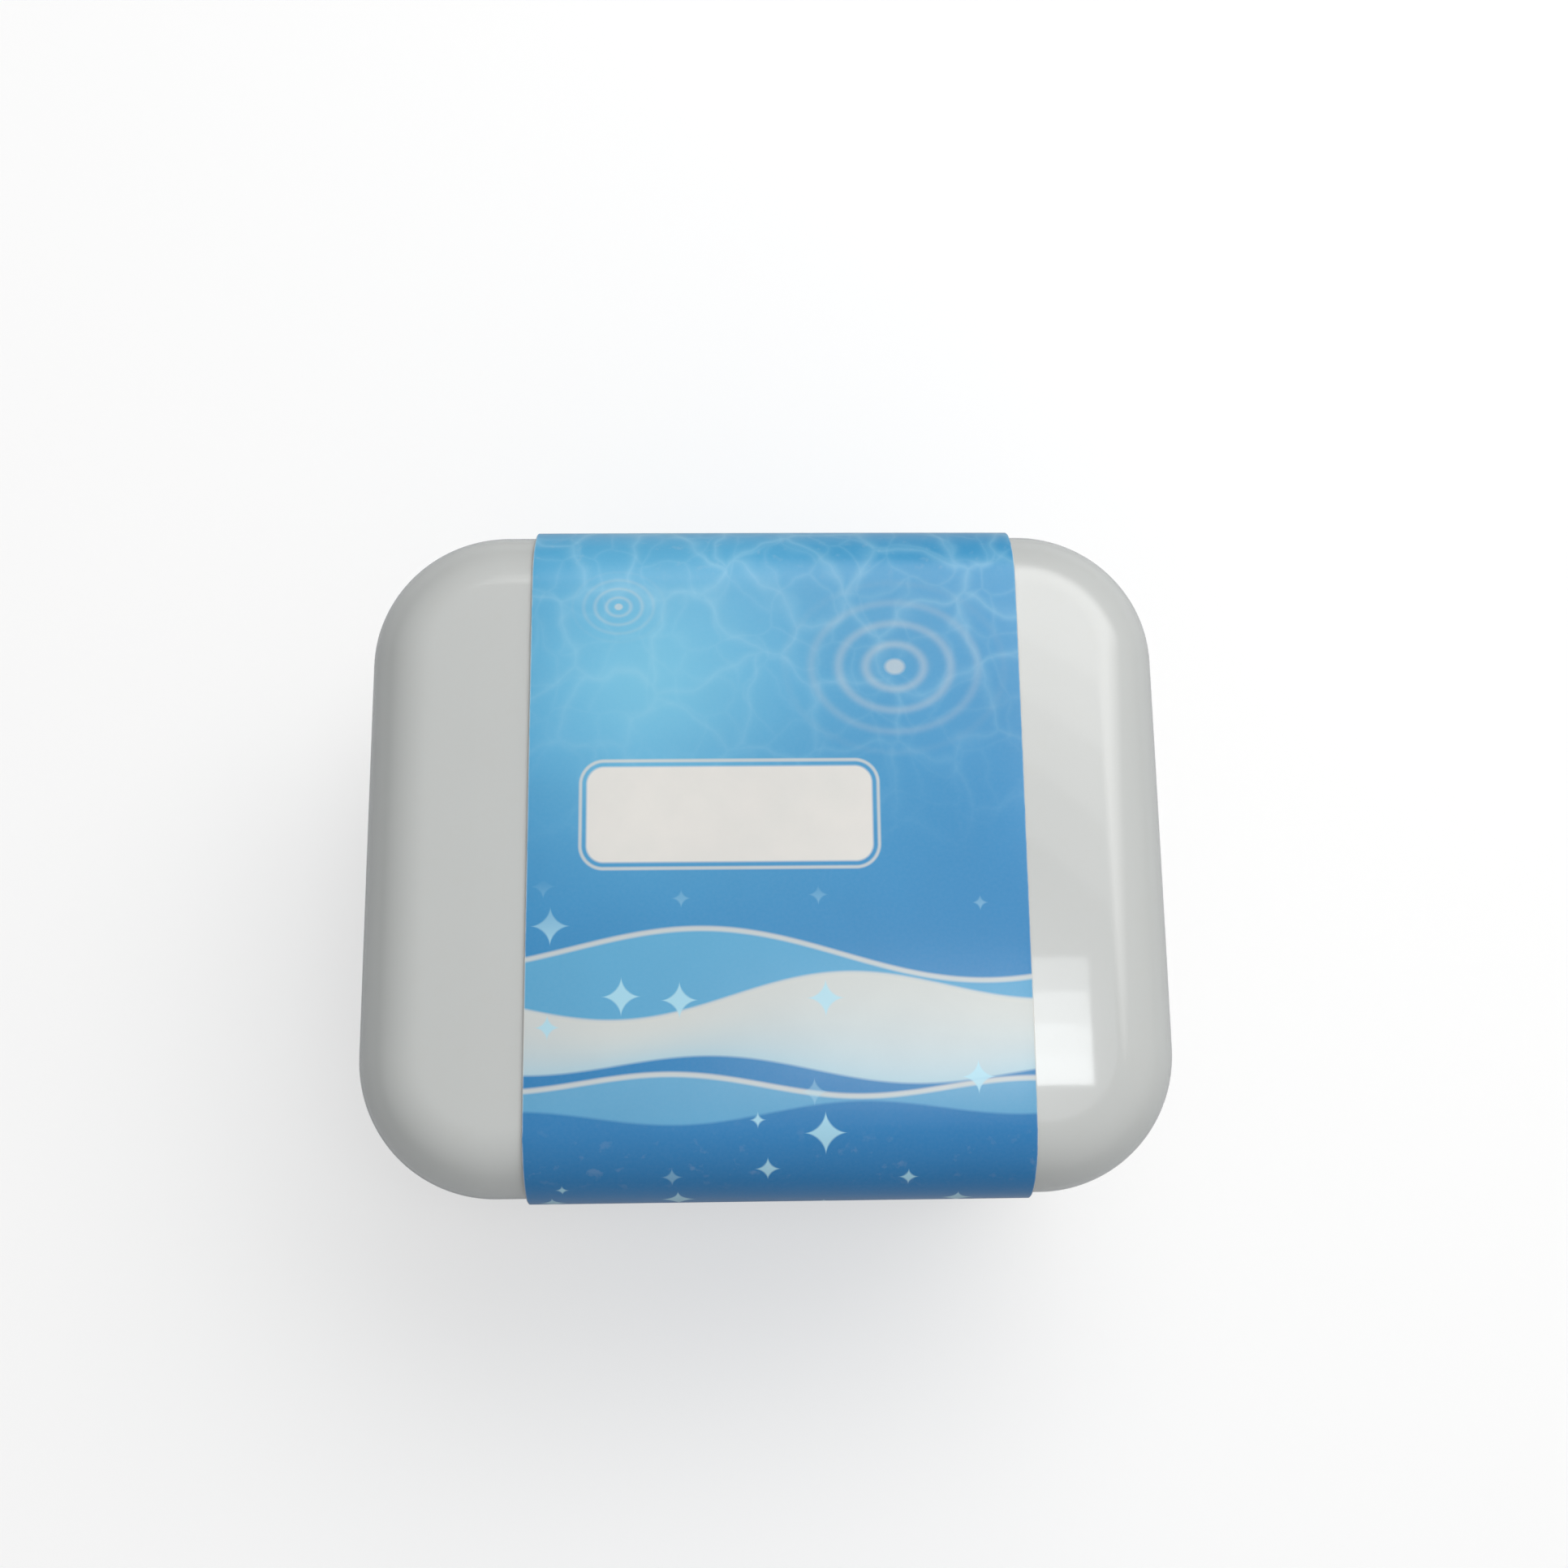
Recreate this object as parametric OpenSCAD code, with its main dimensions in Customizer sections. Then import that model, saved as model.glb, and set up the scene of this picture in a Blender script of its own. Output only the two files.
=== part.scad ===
// Denture case: a hinged two-part box with a lift-out rinsing basket,
// a push-button latch at the front and a printed card sleeve round its middle.
// Millimetres, +Z up, front at -Y, hinge at +Y. The origin is on the floor,
// under the middle of the case.

/* [Case] */
// Width of the lid, left to right
case_w = 95; // [88:1:106]
// Depth of the lid, front to back
case_d = 79.4; // [74:0.2:88]
// Height of the lid's top above the floor
case_top = 62.5; // [56:0.5:72]
// Height of the lid, from its rim to its top
lid_h = 18.5; // [17:0.5:22]
// Radius of the corners, seen from above
corner_r = 16.2; // [14:0.2:18]
// Radius of the lid's shoulder
shoulder_r = 8.2; // [6:0.2:9.4]
// Thickness of the lid's wall
lid_wall = 1.6; // [1.4:0.1:1.8]
// Thickness of the tub's wall
tub_wall = 1.8; // [1.6:0.1:2]
// Draft of the tub's wall, in degrees
draft = 3.5; // [2:0.5:4]
// Radius where the tub's wall meets its base
foot_r = 5; // [4:0.5:6]

/* [Hinge] */
// Distance of each hinge lug from the side of the case
lug_inset = 14.8; // [14:0.1:15.4]
// Width of each hinge lug
lug_w = 4.6; // [4:0.2:5]
// Radius of each hinge pin
pin_r = 0.8; // [0.7:0.05:0.85]

/* [Latch] */
// Width of the button's pad
pad_w = 11.4; // [9:0.2:12]
// Height of the button's pad
pad_h = 6.4; // [5:0.2:6.6]
// How far the button goes in
press_travel = 1.2; // [1:0.1:1.4]
// Width of the lid's latch tongue
tongue_w = 24; // [20:0.5:26]

/* [Basket] */
// Depth of the basket's rim below the rim of the tub
basket_drop = 6.5; // [5.5:0.5:8]
// Radius of the drain holes in the basket's floor
drain_r = 2.2; // [1.5:0.1:2.6]
// Width of the slots in the basket's wall
slot_w = 2.6; // [2:0.1:3]
// Width of the handle's bar
bail_w = 2.4; // [2:0.1:2.6]

/* [Sleeve] */
// Width of the card sleeve, left to right
sleeve_w = 57.6; // [45:0.2:57.8]
// How far the sleeve sits to the right of the middle
sleeve_x = 1.2; // [-1.2:0.2:1.2]
// Thickness of the card
card_t = 0.35; // [0.25:0.05:0.4]
// Height of the lap's overlap at the front
lap_h = 8; // [6:0.5:10]

/* [Hidden] */
$fn = 64;

// Shared levels and corner centres
parting_z = case_top - lid_h;
basket_rim_z = parting_z - basket_drop;
cx = case_w / 2 - corner_r;
cy = case_d / 2 - corner_r;
rest_gap = 0.15;
base_z = card_t + rest_gap;
floor_t = 2.2;
hollow_depth = 0.8;
hollow_reach = 3;
floor_z = base_z + floor_t;
slope = tan(draft);
lid_gap = 0.2;
lid_z = parting_z + lid_gap;

// Radii counted out from the corner centres
tub_inset = 0.4;
tub_r = corner_r - tub_inset;
lid_ri = corner_r - lid_wall;
lip_gap = 0.3;
lip_t = 1.2;
lip_ro = lid_ri - lip_gap;
lip_ri = lip_ro - lip_t;
lip_h = 4;
lip_top = parting_z + lip_h;
lip_depth = 2;
lip_slope_h = 2.5;
lip_edge = 0.4;

// Seal, between the tub's lip and a ledge inside the lid
seal_t = 1.6;
seal_z = lip_top + 0.15;
ledge_t = 1.2;
ledge_reach = 1.9;
seal_slack = 0.05;

// Hinge: the axis lies inside the back wall, below the parting line
knuckle_r = pin_r + 0.8;
hinge_y = case_d / 2 - 1.9;
hinge_z = parting_z - 3;
pin_run = 0.05;
lug_gap = 0.3;
ear_in = 3.1;
ear_out = 2.2;
notch_w = lug_w + 2 * lug_gap;
// The hinges stand just outside the sleeve, so that the lugs swing past it
lug_x = case_w / 2 - lug_inset;
pin_x0 = lug_x - notch_w / 2 - ear_in + 0.9;
pin_x1 = lug_x + notch_w / 2 + ear_out - 0.7;
back_relief = 0.4;
notch_gap = 0.3;
notch_drop = 2.7;
boss_t = 1.3;
boss_drop = 4.2;
pad_drop = 2.4;
pin_cover = 0.45;
lug_root = 2;

// Latch: tongue, bezel, button and leaf spring, front to back
tongue_t = 1.3;
tongue_in = -(case_d / 2 - lid_wall);
tongue_out = tongue_in - tongue_t;
tongue_h = 11;
tongue_z = parting_z - tongue_h;
pad_z = parting_z - 5.5;
window_gap = 0.3;
window_w = pad_w + 2 * window_gap;
window_h = pad_h + 2 * window_gap;
recess_y = tongue_in + 0.4;
bezel_t = 1.1;
bezel_w = pad_w + 5;
bezel_h = pad_h + 3.4;
bezel_back = recess_y + bezel_t;
flange_t = 0.9;
flange_w = bezel_w - 0.8;
flange_h = bezel_h - 0.8;
flange_y = bezel_back + 0.1;
pad_front = tongue_out + 0.5;
spring_t = 0.25;
spring_w = 4;
spring_seat = 0.8;
dish_r = 15;
dish_depth = 0.4;
spring_free = 1.7;
pocket_y = flange_y + flange_t + spring_free + 0.1;
latch_box_y = pocket_y + 1.3;
latch_box_w = bezel_w + 6;
latch_box_drop = 2.6;
tongue_gap = 0.3;

// Basket, inside the tub and clear of the latch box and the hinge bosses
basket_t = 1.4;
basket_draft = 3;
basket_slope = tan(basket_draft);
flange_reach = 1.2;
basket_r = 7.5;
basket_clear = 0.5;
basket_hd = -(latch_box_y) - basket_clear - flange_reach;
basket_side = 3.1;
basket_hw = case_w / 2 - tub_inset - tub_wall - basket_side - flange_reach;
bcx = basket_hw - basket_r;
bcy = basket_hd - basket_r;
foot_h = 3;
basket_foot_w = 2.5;
flange_rim = 1.3;
drain_pitch_x = bcx / 3.2;
drain_pitch_y = bcy / 2.2;
slot_pitch_x = bcx / 3.3;
slot_pitch_y = bcy / 2.3;
slot_low = 6;
slot_high = 5;
basket_z = floor_z + 0.1 + foot_h;
basket_foot_r = 4;

// Handle of the basket, folded flat towards the front
pivot_drop = 6.5;
pivot_z = basket_rim_z - pivot_drop;
bail_h = 3.2;
bail_gap = 0.6;
bail_r = basket_r - basket_t - (basket_rim_z - pivot_z + bail_h / 2) * basket_slope
         - bail_gap;
bail_hw = bcx + bail_r;
stud_r = 1.3;
stud_len = 2.7;
stud_root = 0.3;
stud_run = 0.06;
eye_r = 2.6;

// Sleeve: the upper part folds up with the lid, the lower part slides
sleeve_gap = 0.3;
upper_in = case_d / 2 + sleeve_gap;
upper_top = case_top + rest_gap;
upper_r = shoulder_r + 0.15;
crease_z = parting_z - 0.9;
lower_back = case_d / 2;
lower_r = foot_r + 0.2;
lower_cy = tub_line(base_z + foot_r) - foot_r / cos(draft);
lower_top = tongue_z - 0.6;
lower_front = -(tub_line(lower_top) + 0.3);
lap_z = lower_top - lap_h;
hinge_step = 0.1;
lap_y = -(tub_line(lap_z) + 0.3 + card_t + 0.15);

// Distance from the middle to the tub's outer wall at a height
function tub_line(z) = cy + tub_r - (parting_z - z) * slope;

// Points along an arc
function arc(x, z, r, a0, a1, n) =
    [for (i = [0:n]) let (a = a0 + (a1 - a0) * i / n)
        [x + r * cos(a), z + r * sin(a)]];

// Angle at which a line from point p touches a circle
function touch_angle(p, c, r, side) =
    atan2(p[1] - c[1], p[0] - c[0]) + side * acos(r / norm(p - c));

// A section carried round a rounded rectangle: x is the distance out from the
// corner centres, y is the height
module swept(hx, hy) {
    for (k = [0:3])
        translate([(k == 0 || k == 3) ? hx : -hx, (k < 2) ? hy : -hy, 0])
            rotate([0, 0, 90 * k])
                rotate_extrude(angle = 90)
                    children();
    for (s = [0, 180]) {
        rotate([0, 0, s])
            translate([hx, hy, 0])
                rotate([90, 0, 0])
                    linear_extrude(height = 2 * hy)
                        children();
        rotate([0, 0, s + 90])
            translate([hy, hx, 0])
                rotate([90, 0, 0])
                    linear_extrude(height = 2 * hx)
                        children();
    }
}

module box(x0, x1, y0, y1, z0, z1) {
    translate([x0, y0, z0])
        cube([x1 - x0, y1 - y0, z1 - z0]);
}

module rod_x(x0, x1, y, z, r) {
    translate([x0, y, z])
        rotate([0, 90, 0])
            cylinder(h = x1 - x0, r = r);
}

module slot2d(w, h) {
    square([w, h - w], center = true);
    for (s = [-1, 1])
        translate([0, s * (h - w) / 2])
            circle(d = w);
}

module tub_section() {
    zo = base_z + foot_r;
    xo = tub_r - (parting_z - zo) * slope - foot_r / cos(draft);
    ri = foot_r - tub_wall + 0.2;
    zi = floor_z + ri;
    xi = tub_r - tub_wall - (parting_z - zi) * slope - ri / cos(draft);
    step_z = parting_z - lip_depth - lip_slope_h;
    polygon(concat(
        [[0, base_z]],
        arc(xo, zo, foot_r, -90, -draft, 9),
        [[tub_r, parting_z], [lip_ro, parting_z],
         [lip_ro, lip_top - lip_edge], [lip_ro - lip_edge, lip_top],
         [lip_ri, lip_top], [lip_ri, parting_z - lip_depth],
         [tub_r - tub_wall - (parting_z - step_z) * slope, step_z]],
        arc(xi, zi, ri, -draft, -90, 7),
        [[0, floor_z]]));
}

module lid_section() {
    zc = case_top - shoulder_r;
    ri = shoulder_r - lid_wall;
    difference() {
        union() {
            translate([0, lid_z])
                square([corner_r, zc - lid_z]);
            translate([0, zc])
                square([corner_r - shoulder_r, shoulder_r]);
            translate([corner_r - shoulder_r, zc])
                circle(r = shoulder_r);
        }
        translate([-1, lid_z - 1])
            square([lid_ri + 1, zc - lid_z + 1]);
        translate([-1, zc - 0.5])
            square([corner_r - shoulder_r + 1, ri + 0.5]);
        translate([corner_r - shoulder_r, zc])
            circle(r = ri);
        translate([-shoulder_r, lid_z - 1])
            square([shoulder_r, case_top]);
    }
}

// Runs its child once on each side: the left one is the mirror of the right
module both_sides() {
    children();
    mirror([1, 0, 0])
        children();
}

module hinge_boss() {
    x0 = lug_x - notch_w / 2 - ear_in;
    x1 = lug_x + notch_w / 2 + ear_out;
    box(x0, x1, hinge_y - knuckle_r - notch_gap - boss_t, hinge_y + pin_r,
        hinge_z - boss_drop, parting_z - back_relief);
    box(x0, x1, hinge_y - pin_r, hinge_y + pin_r + pin_cover,
        hinge_z - pad_drop, parting_z - back_relief);
}

module tub() {
    color("whitesmoke")
    difference() {
        union() {
            swept(cx, cy)
                tub_section();
            box(-cx, cx, -cy, cy, base_z, floor_z);
            both_sides()
                hinge_boss();
            box(-latch_box_w / 2, latch_box_w / 2, recess_y, latch_box_y,
                pad_z - bezel_h / 2 - latch_box_drop, parting_z);
        }
        box(-cx - hollow_reach, cx + hollow_reach,
            -cy - hollow_reach, cy + hollow_reach,
            base_z - 1, base_z + hollow_depth);
        // Room for the lid's tongue, and the pocket behind it
        box(-tongue_w / 2 - tongue_gap, tongue_w / 2 + tongue_gap,
            -case_d, recess_y, tongue_z - tongue_gap, parting_z + 0.001);
        box(-bezel_w / 2, bezel_w / 2, recess_y - 1, pocket_y,
            pad_z - bezel_h / 2, pad_z + bezel_h / 2);
        // Lowered rim at the back, where the lid's edge swings down
        box(-cx - corner_r, cx + corner_r, cy + lip_ro + 0.05, case_d,
            parting_z - back_relief, parting_z + 1);
        both_sides() {
            box(lug_x - notch_w / 2, lug_x + notch_w / 2,
                hinge_y - knuckle_r - notch_gap, case_d,
                hinge_z - notch_drop, parting_z - back_relief + 0.001);
            rod_x(pin_x0, pin_x1, hinge_y, hinge_z, pin_r);
        }
    }
}

module lid() {
    color("white")
    difference() {
        union() {
            swept(cx, cy)
                lid_section();
            box(-cx, cx, -cy, cy, case_top - lid_wall, case_top);
            // Ledge over the seal
            swept(cx, cy)
                translate([lid_ri - ledge_reach, seal_z + seal_t + seal_slack])
                    square([ledge_reach + 0.2, ledge_t]);
            both_sides() {
                rod_x(lug_x - lug_w / 2, lug_x + lug_w / 2,
                      hinge_y, hinge_z, knuckle_r);
                box(lug_x - lug_w / 2, lug_x + lug_w / 2,
                    case_d / 2 - lid_wall, hinge_y + knuckle_r - 0.05,
                    hinge_z, lid_z + lug_root);
            }
            box(-tongue_w / 2, tongue_w / 2, tongue_out, tongue_in,
                tongue_z, lid_z + lug_root);
        }
        box(-window_w / 2, window_w / 2, tongue_out - 1, tongue_in + 1,
            pad_z - window_h / 2, pad_z + window_h / 2);
        both_sides()
            rod_x(lug_x - lug_w, lug_x + lug_w,
                  hinge_y, hinge_z, pin_r + pin_run);
    }
}

module lid_seal() {
    color("lightgray")
    swept(cx, cy)
        translate([lid_ri - ledge_reach + 0.1, seal_z])
            square([ledge_reach - 0.1 - seal_slack, seal_t]);
}

module hinge_pin_right() {
    color("silver")
    rod_x(pin_x0, pin_x1, hinge_y, hinge_z, pin_r);
}

module hinge_pin_left() {
    mirror([1, 0, 0])
        hinge_pin_right();
}

module latch_button() {
    color("lightsteelblue") {
        difference() {
            box(-pad_w / 2, pad_w / 2, pad_front, flange_y + 0.2,
                pad_z - pad_h / 2, pad_z + pad_h / 2);
            // Shallow thumb dish
            translate([0, pad_front + dish_depth - dish_r, pad_z])
                cylinder(h = 2 * pad_h, r = dish_r, center = true);
        }
        box(-flange_w / 2, flange_w / 2, flange_y, flange_y + flange_t,
            pad_z - flange_h / 2, pad_z + flange_h / 2);
    }
}

module latch_bezel() {
    color("whitesmoke")
    difference() {
        box(-bezel_w / 2, bezel_w / 2, recess_y, bezel_back,
            pad_z - bezel_h / 2, pad_z + bezel_h / 2);
        box(-window_w / 2, window_w / 2, recess_y - 1, bezel_back + 1,
            pad_z - window_h / 2, pad_z + window_h / 2);
    }
}

module latch_spring() {
    // Bowed leaf: its ends bear on the pocket, its crown on the button
    half = flange_w / 2 - spring_seat;
    rise = spring_free - spring_t;
    rad = (half * half + rise * rise) / (2 * rise);
    crown = flange_y + flange_t + 0.05;
    sweep = asin(half / rad);
    color("silver")
    translate([0, crown, pad_z - spring_w / 2])
        linear_extrude(height = spring_w)
            difference() {
                translate([0, rad])
                    circle(r = rad);
                translate([0, rad])
                    circle(r = rad - spring_t);
                translate([-rad - 1, spring_free])
                    square([2 * rad + 2, 2 * rad + 2]);
            }
}

module basket_section() {
    zo = basket_z + basket_foot_r;
    xo = basket_r - (basket_rim_z - zo) * basket_slope
         - basket_foot_r / cos(basket_draft);
    ri = basket_foot_r - basket_t;
    zi = basket_z + basket_t + ri;
    xi = basket_r - basket_t - (basket_rim_z - zi) * basket_slope
         - ri / cos(basket_draft);
    polygon(concat(
        [[0, basket_z]],
        arc(xo, zo, basket_foot_r, -90, -basket_draft, 7),
        [[basket_r - flange_rim * basket_slope, basket_rim_z - flange_rim],
         [basket_r + flange_reach, basket_rim_z - flange_rim],
         [basket_r + flange_reach, basket_rim_z],
         [basket_r - basket_t, basket_rim_z]],
        arc(xi, zi, ri, -basket_draft, -90, 6),
        [[0, basket_z + basket_t]]));
}

module rinsing_basket() {
    slot_z0 = basket_z + slot_low;
    slot_z1 = pivot_z - slot_high;
    slot_h = slot_z1 - slot_z0;
    slot_mid = (slot_z0 + slot_z1) / 2;
    color("aliceblue")
    difference() {
        union() {
            swept(bcx, bcy)
                basket_section();
            box(-bcx, bcx, -bcy, bcy, basket_z, basket_z + basket_t);
            for (x = [-1, 1], y = [-1, 1])
                translate([x * bcx, y * bcy, basket_z - foot_h])
                    cylinder(h = foot_h + 0.2, r = basket_foot_w);
        }
        for (i = [-3:3], j = [-2:2])
            if (abs(i) < 3 || abs(j) < 2)
                translate([i * drain_pitch_x, j * drain_pitch_y, basket_z - 1])
                    cylinder(h = basket_t + 2, r = drain_r);
        for (i = [-3:3])
            translate([i * slot_pitch_x, 2 * basket_hd, slot_mid])
                rotate([90, 0, 0])
                    linear_extrude(height = 4 * basket_hd)
                        slot2d(slot_w, slot_h);
        for (j = [-2:2])
            translate([-2 * basket_hw, j * slot_pitch_y, slot_mid])
                rotate([90, 0, 90])
                    linear_extrude(height = 4 * basket_hw)
                        slot2d(slot_w, slot_h);
        rod_x(-2 * basket_hw, 2 * basket_hw, 0, pivot_z, stud_r + stud_run);
    }
}

module bail_outline(r, reach) {
    hull_w = 2 * (bcx + r);
    translate([-hull_w / 2, -bcy])
        square([hull_w, bcy + reach]);
    translate([-bcx, -bcy - r])
        square([2 * bcx, r + 0.5]);
    for (s = [-1, 1])
        translate([s * bcx, -bcy])
            circle(r = r);
}

module basket_handle() {
    color("azure")
    difference() {
        union() {
            translate([0, 0, pivot_z - bail_h / 2])
                linear_extrude(height = bail_h)
                    difference() {
                        bail_outline(bail_r, 0);
                        bail_outline(bail_r - bail_w, 1);
                    }
            for (s = [-1, 1]) {
                rod_x(s * (bail_hw - bail_w / 2) - bail_w / 2,
                      s * (bail_hw - bail_w / 2) + bail_w / 2, 0, pivot_z, eye_r);
                rod_x(s * (bail_hw - stud_root + stud_len / 2) - stud_len / 2,
                      s * (bail_hw - stud_root + stud_len / 2) + stud_len / 2,
                      0, pivot_z, stud_r);
            }
        }
    }
}

module sleeve_lower() {
    c_f = [-lower_cy, base_z - rest_gap + lower_r];
    c_b = [lower_cy, base_z - rest_gap + lower_r];
    ro = lower_r + card_t;
    p_fi = [lower_front, lower_top];
    p_fo = [lower_front - card_t, lower_top];
    p_bi = [lower_back, crease_z];
    p_bo = [lower_back + card_t, crease_z];
    a_fi = touch_angle(p_fi, c_f, lower_r, 1);
    a_fo = touch_angle(p_fo, c_f, ro, 1);
    a_bi = touch_angle(p_bi, c_b, lower_r, -1);
    a_bo = touch_angle(p_bo, c_b, ro, -1);
    color("steelblue")
    translate([sleeve_x - sleeve_w / 2, 0, 0])
        rotate([90, 0, 90])
            linear_extrude(height = sleeve_w)
                polygon(concat(
                    [p_fi],
                    arc(c_f[0], c_f[1], lower_r, a_fi, 270, 10),
                    arc(c_b[0], c_b[1], lower_r, -90, a_bi, 10),
                    [p_bi, p_bo],
                    arc(c_b[0], c_b[1], ro, a_bo, -90, 10),
                    arc(c_f[0], c_f[1], ro, 270, a_fo, 10),
                    [p_fo]));
}

module sleeve_upper() {
    ya = upper_in - upper_r;
    za = upper_top - upper_r;
    ro = upper_r + card_t;
    color("steelblue")
    translate([sleeve_x - sleeve_w / 2, 0, 0])
        rotate([90, 0, 90])
            linear_extrude(height = sleeve_w)
                polygon(concat(
                    [[upper_in, parting_z + hinge_step]],
                    arc(ya, za, upper_r, 0, 90, 15),
                    arc(-ya, za, upper_r, 90, 180, 15),
                    [[-upper_in, lower_top], [lap_y, lap_z],
                     [lap_y - card_t, lap_z], [-upper_in - card_t, lower_top]],
                    arc(-ya, za, ro, 180, 90, 15),
                    arc(ya, za, ro, 90, 0, 15),
                    [[upper_in + card_t, parting_z + hinge_step]]));
}

tub();
lid();
lid_seal();
hinge_pin_left();
hinge_pin_right();
latch_button();
latch_bezel();
latch_spring();
rinsing_basket();
basket_handle();
sleeve_lower();
sleeve_upper();
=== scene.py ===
"""Denture case with a printed card sleeve, a push-button latch and a lift-out
rinsing basket. Metres, +Z up, front at -Y, in the same frame as the solids."""

import math

import bpy
import numpy as np
from mathutils import Matrix, Vector


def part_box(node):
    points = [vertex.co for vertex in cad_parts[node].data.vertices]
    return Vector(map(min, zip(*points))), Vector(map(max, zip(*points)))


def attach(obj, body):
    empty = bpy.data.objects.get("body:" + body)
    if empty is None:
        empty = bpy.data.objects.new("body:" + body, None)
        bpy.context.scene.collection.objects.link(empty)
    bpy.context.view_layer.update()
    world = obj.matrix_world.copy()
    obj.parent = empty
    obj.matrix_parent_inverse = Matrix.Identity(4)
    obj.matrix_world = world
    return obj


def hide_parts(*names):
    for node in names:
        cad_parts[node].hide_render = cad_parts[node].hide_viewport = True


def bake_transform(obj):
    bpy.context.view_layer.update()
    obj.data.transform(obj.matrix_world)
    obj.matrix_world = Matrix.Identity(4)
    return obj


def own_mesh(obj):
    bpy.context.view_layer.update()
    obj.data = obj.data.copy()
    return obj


bl_info = {
    "name": "Denture Case",
    "version": (1, 0, 0),
    "blender": (4, 5, 0),
    "location": "View3D > Sidebar > Denture Case",
    "description": "Builds a denture case with its basket, latch and card sleeve",
    "category": "Object",
}

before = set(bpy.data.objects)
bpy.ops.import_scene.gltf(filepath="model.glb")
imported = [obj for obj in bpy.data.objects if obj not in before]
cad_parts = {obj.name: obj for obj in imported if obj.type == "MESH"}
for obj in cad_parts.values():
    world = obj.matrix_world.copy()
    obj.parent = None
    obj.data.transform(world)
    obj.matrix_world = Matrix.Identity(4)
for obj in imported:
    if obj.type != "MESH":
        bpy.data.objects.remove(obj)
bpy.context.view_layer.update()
MM = 0.001

# Lowest and highest corners of the solids
LID_LOW, LID_HIGH = np.array(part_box("lid"))
SLEEVE_LOW, SLEEVE_HIGH = np.array(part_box("sleeve_upper"))
LOWER_LOW, LOWER_HIGH = np.array(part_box("sleeve_lower"))
SEAL_LOW, SEAL_HIGH = np.array(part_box("lid_seal"))
BUTTON_LOW, BUTTON_HIGH = np.array(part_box("latch_button"))
BEZEL_LOW, BEZEL_HIGH = np.array(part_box("latch_bezel"))
PIN_LOW, PIN_HIGH = np.array(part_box("hinge_pin_right"))
SPRING_LOW, SPRING_HIGH = np.array(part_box("latch_spring"))
HANDLE_LOW, HANDLE_HIGH = np.array(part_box("basket_handle"))

# Rounding of thin plates and ledges
FINE_EDGE = 0.2 * MM

# Lid: how far its wall lies inside the sleeve's outside, the ledge over the seal,
# the seal's width, and the heights over the rim of the rows that keep its wear there
LID_TO_SLEEVE = 0.65 * MM
LEDGE_DEPTH, LEDGE_HEIGHT, LEDGE_GAP = 1.9 * MM, 1.2 * MM, 0.05 * MM
SEAL_WIDTH, SEAL_CORNER = 1.75 * MM, 0.4 * MM
RIM_ROWS = np.array([2.0, 1.2, 0.8, 0.5]) * MM
RIM_WEAR = 0.5 * MM
TOP_ROWS = 9

# Heights of the rubbed rims of the tub and the basket, in millimetres
TUB_RIM, BASKET_RIM = 44.0, 37.2

# Tongue and hinge lugs: how far they reach up over the rim, and their sizes
ROOT = 2 * MM
TONGUE_WIDTH, TONGUE_THICKNESS, TONGUE_CORNER = 24 * MM, 1.3 * MM, 1.4 * MM
LATCH_WINDOW, WINDOW_CORNER = (12 * MM, 7 * MM), 0.8 * MM
LUG_X, LUG_HALF, LUG_CORNER = 32.7 * MM, 2.3 * MM, 0.3 * MM
KNUCKLE_RADIUS, BORE_RADIUS, KNUCKLE_EDGE = 1.6 * MM, 0.85 * MM, 0.25 * MM
ARM_LIFT, ARM_INSET = 1.0 * MM, 0.05 * MM

# Button: half sizes and corner of its pad, its dish, its flange, and its spring
PAD_X, PAD_Z, PAD_CORNER, PAD_EDGE = 5.7 * MM, 3.2 * MM, 1.0 * MM, 0.35 * MM
DISH_DEPTH, DISH_HALF = 0.4 * MM, 3.4 * MM
FLANGE_THICKNESS, FLANGE_CORNER, BEZEL_CORNER = 0.9 * MM, 0.6 * MM, 0.5 * MM
LEAF_THICKNESS, LEAF_EDGE = 0.25 * MM, 0.06 * MM

# Handle: its bar, the bend of the U, and the eye and stud at each end
BAR_WIDTH, BAR_HEIGHT, BAR_CORNER = 2.4 * MM, 3.2 * MM, 0.7 * MM
HANDLE_BEND = 3.9 * MM
EYE_RADIUS, EYE_FACE = 2.6 * MM, 2.2 * MM
STUD_LENGTH, STUD_RADIUS, STUD_TIP = 2.4 * MM, 1.3 * MM, 1.0 * MM
CHAMFER = 0.3 * MM

# Card: where its lap ends, and how its line is drawn and cut
SLEEVE_MIDDLE = float(SLEEVE_LOW[0] + SLEEVE_HIGH[0]) / 2
SLEEVE_HALF = float(SLEEVE_HIGH[0] - SLEEVE_LOW[0]) / 2
LAP_END_Y, LAP_BEND = -39.075 * MM, 6 * MM
CARD_GAP, CREASE_INSET = 0.15 * MM, 0.1 * MM
CARD_STEP, CARD_COLUMNS = 1.6 * MM, 24
FOLD_PLACE, FOLD_WIDTH = 36.0 * MM, 5.0 * MM
CREASE_ROWS = np.array([1.0, 0.93, 0.86, 0.14, 0.07, 0.0])[:, None]

# Print: the metres of card in one unit of the UV map and where the top's middle
# is in it, then places across and along the wrap in millimetres. The card has
# PRINT_FRONT of the PRINT_LENGTH in front of the top's middle.
WRAP_SCALE, WRAP_ORIGIN = 0.30, 0.27
PRINT_FRONT, PRINT_LENGTH = 66.0, 270.0
GLOW_PLACE, GLOW_SPREAD = (-15.0, 20.0), (260.0, 220.0)
PANEL_PLACE, PANEL_HALF, PANEL_CORNER = (-5.5, 3.5), (14.5, 3.6), 2.0
# Each drop: its place, and the size of its rings
DROPS = ((14.0, 21.0, 1.0), (-18.5, 28.5, 0.42), (-11.0, 74.0, 0.9))
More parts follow.
